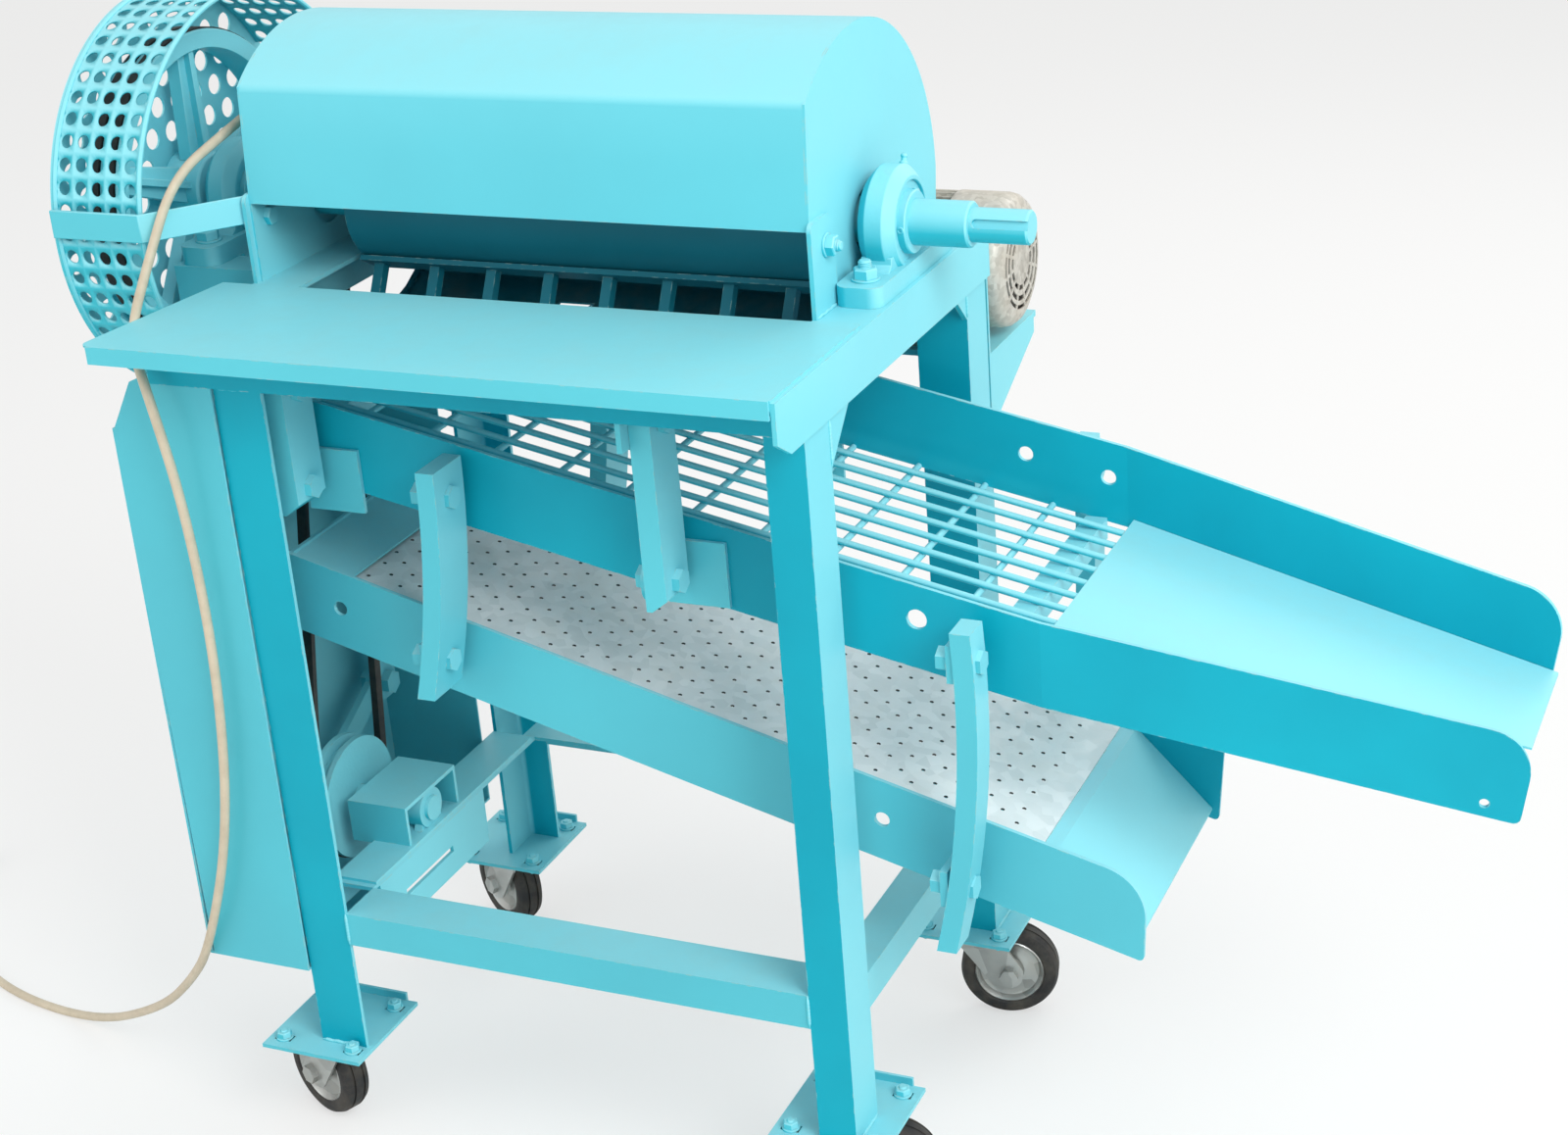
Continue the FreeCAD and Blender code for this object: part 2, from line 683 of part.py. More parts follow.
def concave_bars():
    """Square bars under the drum, set along an arc."""
    x0 = RAIL_LEFT + STEEL + CONCAVE_RIB
    x1 = RIGHT - HOOD_RIGHT - CONCAVE_RIB
    first, last = CONCAVE_SPAN
    bars = []
    for k in range(CONCAVE_BARS):
        half = CONCAVE_BAR / 2
        bar = box(x0, x1, -half, half, -CONCAVE_R - CONCAVE_BAR, -CONCAVE_R)
        angle = first + (last - first) * k / (CONCAVE_BARS - 1)
        bar.rotate(Vector(0, 0, 0), Vector(1, 0, 0), angle - 270)
        bar.translate(Vector(0, SHAFT_Y, SHAFT_Z))
        bars.append(bar)
    return Part.makeCompound(bars)


def chamber_point(radius, degrees):
    """Point in YZ about the shaft."""
    angle = math.radians(degrees)
    return SHAFT_Y + radius * math.cos(angle), SHAFT_Z + radius * math.sin(angle)


def chamber_band(first, last, folds, inner, outer, x0, x1):
    """Folded band about the shaft between two angles."""
    turns = [first + (last - first) * k / folds for k in range(folds + 1)]
    near = [chamber_point(inner, a) for a in turns]
    far = [chamber_point(outer, a) for a in turns]
    return plate_x(near + far[::-1], x0, x1)


def concave_window(x0, x1):
    """Cutter for the window in the concave's sheet."""
    half = WINDOW[1] / 2
    return chamber_band(WINDOW_ANGLE - half, WINDOW_ANGLE + half, 1, CONCAVE_R - 8, CONCAVE_R + 12, x0, x1)


def concave_frame():
    """Ribs, sheet with a window, and the lead-in sheet of the concave."""
    x0 = RAIL_LEFT + STEEL
    x1 = RIGHT - HOOD_RIGHT
    left = x0 + CONCAVE_RIB
    right = x1 - CONCAVE_RIB
    first, last = CONCAVE_SPAN
    reach = CONCAVE_R + CONCAVE_BAR + RIB_BEHIND
    start = first - RIB_PAST
    ribs = [chamber_band(start, CONCAVE_END, 2 * SHEET_FOLDS, CONCAVE_R - 1, reach, x, x + CONCAVE_RIB)
            for x in (x0, right)]
    face = CONCAVE_R + SHEET_BEHIND
    sheet = chamber_band(last + SHEET_CLEAR, CONCAVE_END, SHEET_FOLDS, face, face + SHEET_T, left, right)
    mid = RIGHT - WINDOW_MID
    sheet = sheet.cut(concave_window(mid - WINDOW[0] / 2, mid + WINDOW[0] / 2))
    far = SHAFT_Y - LEAD_IN
    near, low = chamber_point(CONCAVE_R + LEAD_BEHIND, first - SHEET_CLEAR)
    profile = [(far, TOP - SHEET_T), (near, low), (near, low - SHEET_T), (far, TOP - 2 * SHEET_T)]
    lead = plate_x(profile, left, right)
    return Part.makeCompound(ribs + [sheet, lead])


def drum_ends():
    """X of the drum's left and right ends."""
    return RAIL_LEFT + STEEL + DRUM_GAP, RIGHT - HOOD_RIGHT - DRUM_GAP


def drum_tube():
    """Closed tube with an end disc at each side."""
    x0, x1 = drum_ends()
    parts = [ring_x(x0, x1, SHAFT_Y, SHAFT_Z, CORE_R, CORE_R - CORE_T)]
    for x in (x0, x1 - CORE_T):
        parts.append(ring_x(x, x + CORE_T, SHAFT_Y, SHAFT_Z, CORE_R - 1, SHAFT_R))
    return fused(*parts)


def drum_bars():
    """Flat bars along the tube, each with a row of square teeth."""
    x0, x1 = drum_ends()
    pitch = (x1 - x0) / TEETH_IN_ROW
    wide, thick = DRUM_BAR
    bars = []
    for row in range(DRUM_BARS):
        parts = [box(x0, x1, -wide / 2, wide / 2, CORE_R, CORE_R + thick)]
        for k in range(TEETH_IN_ROW):
            x = x0 + pitch * (k + 0.25 + 0.5 * (row % 2))
            tooth = box(x - TOOTH / 2, x + TOOTH / 2, -TOOTH / 2, TOOTH / 2, CORE_R + thick - 1, TEETH_TIP_R)
            parts.append(tooth)
        bar = fused(*parts)
        bar.rotate(Vector(0, 0, 0), Vector(1, 0, 0), BAR_TURN + 360 * row / DRUM_BARS - 90)
        bar.translate(Vector(0, SHAFT_Y, SHAFT_Z))
        bars.append(bar)
    return Part.makeCompound(bars)


def main_shaft():
    """Stepped shaft with a keyed drive end on the right."""
    end = RIGHT + STUB_END
    shoulder = end - STUB_LENGTH
    left = RIGHT - PULLEY_X - PULLEY_W / 2 - HUB_LIP - 1
    body = rod_x(left, shoulder, SHAFT_Y, SHAFT_Z, SHAFT_R)
    body = body.makeChamfer(1.5, [e for e in body.Edges if abs(e.BoundBox.XLength) < 0.01])
    stub = rod_x(shoulder - 1, end, SHAFT_Y, SHAFT_Z, STUB_R)
    stub = stub.makeChamfer(1.5, [e for e in stub.Edges if e.BoundBox.XMin > end - 0.01])
    y = SHAFT_Y - STUB_R
    seat = KEY_WIDTH / 2
    start = shoulder + seat + 3
    key = box(start, end + 1, y - 1, y + KEY_DEPTH, SHAFT_Z - seat, SHAFT_Z + seat)
    nose = Part.makeCylinder(seat, KEY_DEPTH + 1, Vector(start, y - 1, SHAFT_Z), Vector(0, 1, 0))
    slot = key.fuse(nose)
    slot.rotate(Vector(0, SHAFT_Y, SHAFT_Z), Vector(1, 0, 0), -KEY_TURN)
    return fused(body, stub).cut(slot)


def bearing_housing(x):
    """Pillow block with its foot, round body and grease nipple."""
    h = BASE_LENGTH / 2
    w = BASE_WIDTH / 2
    foot = plate_z([(x - w, SHAFT_Y - h), (x + w, SHAFT_Y - h), (x + w, SHAFT_Y + h), (x - w, SHAFT_Y + h)],
                   TOP, TOP + BASE_T, [12, 12, 12, 12])
    half = HOUSING_W / 2
    body = rod_x(x - half, x + half, SHAFT_Y, SHAFT_Z, HOUSING_R)
    skirt = plate_x([(SHAFT_Y - SKIRT_HALF, TOP + BASE_T - 2), (SHAFT_Y + SKIRT_HALF, TOP + BASE_T - 2),
                     (SHAFT_Y + 46, SHAFT_Z - 10), (SHAFT_Y - 46, SHAFT_Z - 10)], x - half, x + half)
    block = fused(foot, body, skirt)
    block = block.cut(rod_x(x - half - 1, x + half + 1, SHAFT_Y, SHAFT_Z, RACE_R + PIN_FIT))
    block = drilled_z(block, bearing_bolt_spots(x), BOLT_HOLE_R, TOP - 1, TOP + BASE_T + 1)
    nipple = Part.makeCylinder(3, 10, Vector(x + 4, SHAFT_Y + 22, SHAFT_Z + HOUSING_R - 8), Vector(0.3, 0, 1))
    return fused(block, nipple)


def bearing_housings():
    """Pillow blocks of both ends of the shaft."""
    return Part.makeCompound([bearing_housing(RIGHT - RIGHT_BEARING), bearing_housing(RIGHT - LEFT_BEARING)])


def bearing_rings():
    """Inner rings that turn with the shaft, with a set screw each."""
    rings = []
    for x, side in ((RIGHT - RIGHT_BEARING, 1), (RIGHT - LEFT_BEARING, -1)):
        start = x - side * RING_IN
        end = x + side * RING_OUT
        low, high = min(start, end), max(start, end)
        ring = ring_x(low, high, SHAFT_Y, SHAFT_Z, RING_R, SHAFT_R)
        race = ring_x(x - 14, x + 14, SHAFT_Y, SHAFT_Z, RACE_R, RING_R - 1)
        screw = rod(Vector(end - side * 7, SHAFT_Y, SHAFT_Z) + Vector(0, -RING_R + 3, 0),
                    Vector(end - side * 7, SHAFT_Y, SHAFT_Z) + Vector(0, -RING_R - 1, 0), 3)
        rings.append(fused(ring, race, screw))
    return Part.makeCompound(rings)


def bearing_arms():
    """Two angles from the left side rail that carry the left bearing."""
    x0 = RIGHT - LEFT_BEARING - STEEL / 2
    length = RAIL_LEFT - x0
    outer = SHAFT_Y - BASE_LENGTH / 2 - 2
    arm = angle_bar((x0, outer, TOP), (0, 1, 0), (0, 0, -1), (length, 0, 0), ARM_W, ARM_W)
    arm = drilled_z(arm, bearing_bolt_spots(RIGHT - LEFT_BEARING), BOLT_HOLE_R, TOP - STEEL_T - 1, TOP + 1)
    return Part.makeCompound([arm, mirror_y(arm, SHAFT_Y)])


# Belt drives on the left

def grooved_rim(x, outer, width, grooves):
    """Turned rim profile with V grooves, as a solid disc about the axis."""
    pitch = width / grooves
    points = [(x - width / 2, 0), (x - width / 2, outer)]
    for k in range(grooves):
        centre = x - width / 2 + pitch * (k + 0.5)
        floor = BELT_W / 2 + GROOVE_GAP
        top = BELT_W / 2 + GROOVE_FLARE
        points += [(centre - top, outer), (centre - floor, outer - BELT_T - 2),
                   (centre + floor, outer - BELT_T - 2), (centre + top, outer)]
    points += [(x + width / 2, outer), (x + width / 2, 0)]
    wire = Part.makePolygon([Vector(p[0], 0, p[1]) for p in points] + [Vector(points[0][0], 0, points[0][1])])
    return Part.Face(wire).revolve(Vector(0, 0, 0), Vector(1, 0, 0), 360)


def placed(shape, y, z):
    """Move a turned part from the X axis to its own axis."""
    shape.translate(Vector(0, y, z))
    return shape


def big_pulley():
    """Spoked belt pulley: two-groove rim, flat arms and hub."""
    x = RIGHT - PULLEY_X
    rim = grooved_rim(x, PULLEY_R, PULLEY_W, 2)
    rim = rim.cut(rod_x(x - PULLEY_W, x + PULLEY_W, 0, 0, PULLEY_R - PULLEY_RIM))
    hub = ring_x(x - PULLEY_W / 2 - HUB_LIP, x + PULLEY_W / 2 + HUB_LIP, 0, 0, HUB_R, SHAFT_R)
    parts = [rim, hub]
    for k in range(ARMS):
        turn = 360 * k / ARMS + 18
        arm = plate_x([(HUB_R - 4, -17), (PULLEY_R - PULLEY_RIM + 3, -12), (PULLEY_R - PULLEY_RIM + 3, 12),
                       (HUB_R - 4, 17)], x - 7, x + 7)
        web = box(x - 14, x + 14, HUB_R - 4, PULLEY_R - PULLEY_RIM + 2, -3.5, 3.5)
        arm = arm.fuse(web)
        arm.rotate(Vector(0, 0, 0), Vector(1, 0, 0), turn)
        parts.append(arm)
    return placed(fused(*parts), SHAFT_Y, SHAFT_Z)


def shaker_pulley():
    """Small pulley on the drum shaft that drives the crank."""
    x = RIGHT - SHAKER_PULLEY_X
    disc = grooved_rim(x, SHAKER_PULLEY_R, SMALL_PULLEY_W, 1)
    return placed(disc.cut(rod_x(x - 40, x + 40, 0, 0, SHAFT_R)), SHAFT_Y, SHAFT_Z)


def belt_loop(x, wheel_a, wheel_b, inset):
    """Closed belt round two pulleys, each given as y, z and radius."""
    (ya, za, ra), (yb, zb, rb) = wheel_a, wheel_b
    ra -= inset
    rb -= inset
    span = math.hypot(yb - ya, zb - za)
    base = math.atan2(zb - za, yb - ya)
    lean = math.acos((ra - rb) / span)

    def at(y, z, r, angle):
        return Vector(x, y + r * math.cos(angle), z + r * math.sin(angle))

    def loop(grow):
        a = ra + grow
        b = rb + grow
        one = at(ya, za, a, base + lean)
        two = at(ya, za, a, base - lean)
        three = at(yb, zb, b, base - lean)
        four = at(yb, zb, b, base + lean)
        edges = [Part.Arc(one, at(ya, za, a, base + math.pi), two), Part.LineSegment(two, three),
                 Part.Arc(three, at(yb, zb, b, base), four), Part.LineSegment(four, one)]
        return Part.Face(Part.Wire([e.toShape() for e in edges]))

    ring = loop(BELT_T).cut(loop(0)).Faces[0]
    belt = ring.extrude(Vector(BELT_W, 0, 0))
    belt.translate(Vector(-BELT_W / 2, 0, 0))
    return belt


def drive_belts():
    """Two belts from the motor line to the big pulley, one to the crank."""
    x = RIGHT - PULLEY_X
    big = (SHAFT_Y, SHAFT_Z, PULLEY_R)
    small = (REAR + MOTOR_BACK, HUNG + MOTOR_Z, SMALL_PULLEY_R)
    belts = [belt_loop(x + side * PULLEY_W / 4, big, small, BELT_SINK) for side in (-1, 1)]
    shaker = (SHAFT_Y, SHAFT_Z, SHAKER_PULLEY_R)
    crank_wheel = (FRONT + CRANK_Y, FOOT + CRANK_Z, CRANK_PULLEY_R)
    belts.append(belt_loop(RIGHT - SHAKER_PULLEY_X, shaker, crank_wheel, BELT_SINK))
    return Part.makeCompound(belts)


def guard_band():
    """Curved guard band round the big pulley, with its flat strap."""
    x0 = RIGHT - GUARD_OUTER
    x1 = x0 + GUARD_WIDTH
    band = ring_x(x0, x1, SHAFT_Y, SHAFT_Z, GUARD_R, GUARD_R - SHEET_T)
    opening = [(SHAFT_Y, SHAFT_Z)]
    for degrees in (-96, -30, 34):
        angle = math.radians(degrees)
        opening.append((SHAFT_Y + 420 * math.cos(angle), SHAFT_Z + 420 * math.sin(angle)))
    band = band.cut(plate_x(opening, x0 - 1, x1 + 1))
    hoops = []
    for x in (x0, x1 - 3):
        hoop = ring_x(x, x + 3, SHAFT_Y, SHAFT_Z, GUARD_R + 3, GUARD_R)
        hoops.append(hoop.cut(plate_x(opening, x - 1, x + 4)))
    z = SHAFT_Z + STRAP_RISE
    y = SHAFT_Y - GUARD_R - 3
    across = box(x0, x1 + 2, y - 4, y, z - STRAP_H / 2, z + STRAP_H / 2)
    tie_end = RIGHT - HOOD_LEFT - SHEET_T - STEEL_T
    slant = plate_z([(x1 + 2, y - 4), (tie_end, post_y() + 6), (tie_end, post_y() + 10), (x1 + 2, y)],
                    z - STRAP_H / 2, z + STRAP_H / 2)
    return fused(band, *hoops, across, slant)


def guard_back():
    """Outer face plate of the pulley guard."""
    x0 = RIGHT - GUARD_OUTER - SHEET_T
    disc = rod_x(x0, x0 + SHEET_T, SHAFT_Y, SHAFT_Z, GUARD_R + 3)
    small_y = REAR + MOTOR_BACK
    small_z = HUNG + MOTOR_Z
    tail = rod_x(x0, x0 + SHEET_T, small_y, small_z, SMALL_PULLEY_R + 18)
    corners = [(SHAFT_Y + 40, SHAFT_Z + 150), (small_y + 20, small_z + 50),
               (small_y - 20, small_z - 50), (SHAFT_Y + 10, SHAFT_Z - 150)]
    bridge = plate_x(corners, x0, x0 + SHEET_T)
    plate = fused(disc, tail, bridge)
    return plate.cut(rod_x(x0 - 1, x0 + 3, SHAFT_Y, SHAFT_Z, SHAFT_R + 10))


def belt_guard():
    """Tall sheet guard, open to the right, round the belt to the crank."""
    x0 = RIGHT - BELT_GUARD_LEFT
    x1 = RIGHT - BELT_GUARD_RIGHT
    z0 = FOOT + BELT_GUARD_BOTTOM
    z1 = HUNG + BELT_GUARD_TOP
    y0 = FRONT
    y1 = FRONT + BELT_GUARD_DEPTH
    cut_x = 60
    cut_z = 64
    corners = [(x0 + 5, z0), (x1, z0), (x1, z1), (x0 + cut_x, z1), (x0 + 28, z1 - 14), (x0, z1 - cut_z)]
    front = plate_y(corners, y0, y0 + SHEET_T)
    rear = plate_y([(x0, z0), (x1, z0), (x1, z1 - 60), (x0, z1 - 60)], y1 - SHEET_T, y1)
    side = plate_x([(y0, z0), (y1, z0), (y1, z1 - 60), (y0, z1 - 60)], x0, x0 + SHEET_T)
    floor = box(x0, x1, y0, y1, z0, z0 + SHEET_T)
    shell = fused(front, rear, side, floor)
    shell = shell.cut(rod_x(x0 - 1, RIGHT - GUARD_OUTER + GUARD_WIDTH + 1, SHAFT_Y, SHAFT_Z, GUARD_R + 4))
    shell = shell.cut(box(LEFT - APRON_REACH, x1 + 1, y0 - 1, y0 + STEEL_T, TOP - STEEL, TOP))
    return Part.makeCompound([shell, guard_brace()])


def guard_brace():
    """Bent flat strip from the guard's rear face to the rear left leg."""
    y0 = FRONT + BELT_GUARD_DEPTH
    y1 = REAR - STEEL_T - NARROW / 2
    t = BRACE_T
    corners = [(LEFT - STEEL, y0), (LEFT, y0), (LEFT, y1), (LEFT - t, y1), (LEFT - t, y0 + t),
               (LEFT - STEEL, y0 + t)]
    return plate_z(corners, FOOT + BRACE_Z, FOOT + BRACE_Z + BRACE_H, [0, BRACE_R, 0, 0, BRACE_R - t, 0])


# Crank at the lower left

def crank_centre():
    """Axis of the crank shaft in YZ."""
    return FRONT + CRANK_Y, FOOT + CRANK_Z


def crank_bracket():
    """Bridge on the low left rail with the crank's bearing and a slotted plate."""
    y, z = crank_centre()
    rail = FOOT + LOW_RAIL
    x0 = LEFT - 20
    x1 = LEFT + STEEL
    sleeve = ring_x(x0, x1 - 6, y, z, CRANK_SHAFT_R + 8, CRANK_SHAFT_R + PIN_FIT)
    feet = []
    for x in (LEFT + 2, x1 - 16):
        foot = plate_x([(y - 22, rail), (y + 22, rail), (y + 12, z - 4), (y - 12, z - 4)], x, x + 8)
        feet.append(foot.cut(rod_x(x - 1, x + 9, y, z, CRANK_SHAFT_R + 7)))
    top = z + CRANK_SHAFT_R + 8
    cover = fused(box(x0, x1 - 4, y - 48, y + 48, top - 1, top + 3),
                  box(x0, x1 - 4, y - 48, y - 44, rail, top + 1),
                  box(LEFT, x1 - 4, y + 44, y + 48, rail, top + 1))
    strip = box(LEFT + STEEL_T + 0.5, x1, FRONT + 60, REAR - 60, rail, rail + 3)
    slotted = box(x1 - STEEL_T, x1, y - 112, y + 88, rail - 64, rail - STEEL_T)
    slot = box(x1 - 9, x1 + 1, y - 70, y + 20, rail - 40, rail - 33)
    return Part.makeCompound([fused(sleeve, *feet, cover, strip), slotted.cut(slot)])


def crank_pin():
    """Centre of the crank pin in YZ: square to the pitman at rest."""
    y, z = crank_centre()
    angle = math.atan2(HUNG + ARM_Z - z, FRONT + ARM_Y - y)
    return y + CRANK_THROW * math.sin(angle), z - CRANK_THROW * math.cos(angle)


def crank():
    """Crank pulley with its shaft, hub disc and pin."""
    y, z = crank_centre()
    x = RIGHT - SHAKER_PULLEY_X
    disc = placed(grooved_rim(x, CRANK_PULLEY_R, SMALL_PULLEY_W, 1), y, z)
    shaft = rod_x(x, LEFT + STEEL - 2, y, z, CRANK_SHAFT_R)
    stub = rod_x(x - 30, x, y, z, CRANK_SHAFT_R)
    py, pz = crank_pin()
    web = rod_x(x - 30, x - 18, y, z, 30)
    pin = rod_x(x - 44, x - 18, py, pz, CRANK_PIN_R)
    head = rod_x(x - 47, x - 44, py, pz, CRANK_PIN_R + 4)
    return fused(disc, shaft, stub, web, pin, head)


def pitman_x():
    """Left face of the pitman."""
    return RIGHT - SHAKER_PULLEY_X - 30 - 2 - PITMAN_T - 2


def pitman():
    """Flat connecting rod with a ring at each end."""
    py, pz = crank_pin()
    ay, az = FRONT + ARM_Y, HUNG + ARM_Z
    x0 = pitman_x()
    x1 = x0 + PITMAN_T
    angle = math.atan2(az - pz, ay - py)
    side_y = -math.sin(angle) * PITMAN_W / 2
    side_z = math.cos(angle) * PITMAN_W / 2
    end_y, end_z = PITMAN_TAPER * side_y, PITMAN_TAPER * side_z
    corners = [(py + side_y, pz + side_z), (py - side_y, pz - side_z),
               (ay - end_y, az - end_z), (ay + end_y, az + end_z)]
    bar = plate_x(corners, x0, x1)
    big = rod_x(x0, x1, py, pz, PITMAN_W / 2 + 4)
    small = rod_x(x0, x1, ay, az, PITMAN_W / 2)
    rod_body = fused(bar, big, small).cut(rod_x(x0 - 1, x1 + 1, py, pz, CRANK_PIN_R + PIN_FIT))
    head = hexagon(Vector(x0, ay, az), Vector(-1, 0, 0), PITMAN_HEX, LUG_NUT)
    return fused(rod_body, head)


# Hangers and their lugs

def hanger_spots():
    """Right face, low pivot height of the left and the right hangers."""
    left = (RIGHT + HANGER_LEFT_X, HUNG + HANGER_LEFT_LOW)
    right = (RIGHT + HANGER_RIGHT_X, HUNG + HANGER_RIGHT_LOW)
    return left, right


def hanger(spot, y):
    """Square bar hung from the top rail, with its lower pivot bolt."""
    x1, low = spot
    x0 = x1 - HANGER_X
    half = HANGER_Y / 2
    top = HUNG + HANGER_TOP
    tail = low - 22
    bar = plate_x([(y - half, top + 20), (y - half, tail), (y + half, tail), (y + half, top + 20)], x0, x1)
    nose = plate_y([(x1 + 1, tail - 1), (x0 + 4, tail - 1), (x1 + 1, tail + 12)], y - half - 1, y + half + 1)
    bar = bar.cut(nose)
    bar = bar.cut(rod_x(x0 - 1, x1 + 1, y, top, PIN_R + PIN_FIT))
    pin = rod_x(x0 - LUG_T - 2 * LUG_GAP - 8, x1 + 1, y, low, PIN_R)
    head = hexagon(Vector(x1, y, low), Vector(1, 0, 0), PIVOT_HEX, PIVOT_HEAD)
    nut = hexagon(Vector(x0 - LUG_T - 2 * LUG_GAP, y, low), Vector(-1, 0, 0), PIVOT_HEX, PIVOT_NUT)
    return fused(bar, pin, head, nut)


def hanger_lugs():
    """Lugs under the top rails with the upper pivot bolts."""
    lugs = []
    top = HUNG + HANGER_TOP
    for x1, _ in hanger_spots():
        right = x1 - HANGER_X - LUG_GAP
        left = right - LUG_T
        for y, rail, side in ((PIVOT_Y[0], FRONT, 1), (PIVOT_Y[1], REAR, -1)):
            back = rail + side * (STEEL_T + ROOT_R)
            corners = [(back, TOP - STEEL_T), (rail + side * STEEL, TOP - STEEL_T), (y + side * 18, top + 10),
                       (y + side * 14, top - 18), (back, top - 18)]
            plate = plate_x(corners, left, right, [0, 0, 6, 12, 0])
            pin = rod_x(left - 7, x1 + LUG_GAP + 1, y, top, PIN_R)
            head = hexagon(Vector(x1 + LUG_GAP, y, top), Vector(1, 0, 0), PIVOT_HEX, PIVOT_HEAD)
            nut = hexagon(Vector(left, y, top), Vector(-1, 0, 0), PIVOT_HEX, LUG_NUT)
            lugs.append(fused(plate, pin, head, nut))
    return Part.makeCompound(lugs)


def tray_lug(x_left, pivot_z, plate_low, plate_high, fit, wide):
    """Angle on a front board: a lug for the pivot and a flange on the board."""
    y = PIVOT_Y[0]
    board = BOARD_Y[0]
    low, high = pivot_z - LUG_HALF, pivot_z + LUG_HALF
    corners = [(y - LUG_HALF, low), (board, low), (board, high), (y - LUG_HALF, high)]
    lug = plate_x(corners, x_left, x_left + LUG_T, [14, 0, 0, 14])
    flange = box(x_left, x_left + wide, board - STEEL_T, board, plate_low, plate_high)
    return fused(lug, flange).cut(rod_x(x_left - 1, x_left + LUG_T + 1, y, pivot_z, PIN_R + fit))


def shaker_lugs():
    """Angles on the boards for the hangers."""
    lugs = []
    for index, (x1, low) in enumerate(hanger_spots()):
        left = x1 - HANGER_X - LUG_GAP - LUG_T
        fit = PIN_FIT if index == 0 else LOOSE_FIT
        front = tray_lug(left, low, low - 36, low + 24, fit, 58)
        rear_high = min(rear_board_low(left) + 30, HUNG + REAR_TOP_LIMIT)
        rear = mirror_y(tray_lug(left, low, low - 22, rear_high, LOOSE_FIT, 58), sum(BOARD_Y) / 2)
        lugs += [front, rear]
    return Part.makeCompound(lugs)


# Upper tray

def upper_front_board():
    """Front board of the upper tray and of its chute."""
    x0 = RIGHT + UPPER_LEFT
    x1 = RIGHT + UPPER_RIGHT
    deep = board_depth(UPPER_SLOPE)
    y = BOARD_Y[0]
    left, right = upper_top(x0), upper_top(x1)
    board = plate_y([(x0, left), (x1, right), (x1, right - deep), (x0, left - deep)],
                    y, y + BOARD_T)
    right_of, hole_r, below = UPPER_HOLE
    spot = Vector(RIGHT + right_of, y - BOARD_T, upper_top(RIGHT + right_of) - below)
    board = board.cut(Part.makeCylinder(hole_r, 3 * BOARD_T, spot, Vector(0, 1, 0)))
    return fused(board, chute_board(y, 1, 0))


def chute_board(y, side, lift):
    """Side of the chute, turned inwards, with a rounded end."""
    x1 = RIGHT + UPPER_RIGHT
    x2 = RIGHT + CHUTE_END
    deep = board_depth(UPPER_SLOPE)
    taper = math.radians(CHUTE_TAPER)
    reach = (x2 - x1) / math.cos(taper)
    outline_points = [(x1, upper_top(x1) + lift), (x1 + reach, upper_top(x2) + lift),
                      (x1 + reach - 12, upper_top(x2) + lift - deep), (x1, upper_top(x1) + lift - deep)]
    plate = plate_y(outline_points, y, y + side * BOARD_T, [0, CHUTE_ROUND, 6, 0])
    spot = Vector(x1 + reach - 40, y - 6, upper_top(x2) + lift - deep + 18)
    hole = Part.makeCylinder(CHUTE_HOLE_R, 3 * BOARD_T, spot, Vector(0, 1, 0))
    plate = plate.cut(hole) if side > 0 else plate
    plate.rotate(Vector(x1, y, 0), Vector(0, 0, 1), side * CHUTE_TAPER)
    return plate


def rear_board_low(x):
    """Lower edge of the upper tray's rear board."""
    return upper_top(x) + REAR_RISE - board_depth(UPPER_SLOPE)


def upper_rear_board():
    """Rear board, set higher than the front one and cut level under the drum."""
    x0 = RIGHT + UPPER_LEFT
    x1 = RIGHT + UPPER_RIGHT
    limit = HUNG + REAR_TOP_LIMIT
    bend = x0 + (upper_top(x0) + REAR_RISE - limit) / math.tan(math.radians(UPPER_SLOPE))
    y = BOARD_Y[1]
    board = plate_y([(x0, limit), (bend, limit), (x1, upper_top(x1) + REAR_RISE), (x1, rear_board_low(x1)),
                     (x0, rear_board_low(x0))], y - BOARD_T, y)
    for x in (RIGHT + 64, RIGHT + 141):
        hole = Part.makeCylinder(7, 12, Vector(x, y - 8, rear_board_low(x) + 43), Vector(0, 1, 0))
        board = board.cut(hole)
    return fused(board, chute_board(y, -1, REAR_RISE))


def grid_end_bars():
    """Bars across the upper tray that carry both ends of the long rods."""
    bars = []
    for x in (RIGHT + UPPER_LEFT, RIGHT + UPPER_RIGHT - 2 * END_BAR):
        z = upper_top(x + END_BAR) - FLOOR_DROP - 2 * ROD_R / math.cos(math.radians(UPPER_SLOPE))
        bars.append(box(x, x + END_BAR, BOARD_Y[0] + BOARD_T, BOARD_Y[1] - BOARD_T, z - END_BAR_H, z))
    return bars


def rod_grid():
    """Long rods over cross rods, with the end bars that carry them."""
    x0 = RIGHT + UPPER_LEFT + 2
    x1 = RIGHT + UPPER_RIGHT + 4
    y0 = BOARD_Y[0] + BOARD_T
    y1 = BOARD_Y[1] - BOARD_T
    thick = ROD_R / math.cos(math.radians(UPPER_SLOPE))
    pitch = (y1 - y0) / (LONG_RODS + 1)
    rods = []
    for k in range(1, LONG_RODS + 1):
        y = y0 + pitch * k
        ends = [Vector(x, y, upper_top(x) - FLOOR_DROP - thick) for x in (x0, x1)]
        rods.append(rod(*ends, ROD_R))
    x = x0 + 2 * END_BAR
    while x < x1 - 3 * END_BAR:
        z = upper_top(x) - FLOOR_DROP - 3 * thick
        rods.append(rod(Vector(x, y0, z), Vector(x, y1, z), ROD_R))
        x += CROSS_PITCH
    return Part.makeCompound(rods + grid_end_bars())


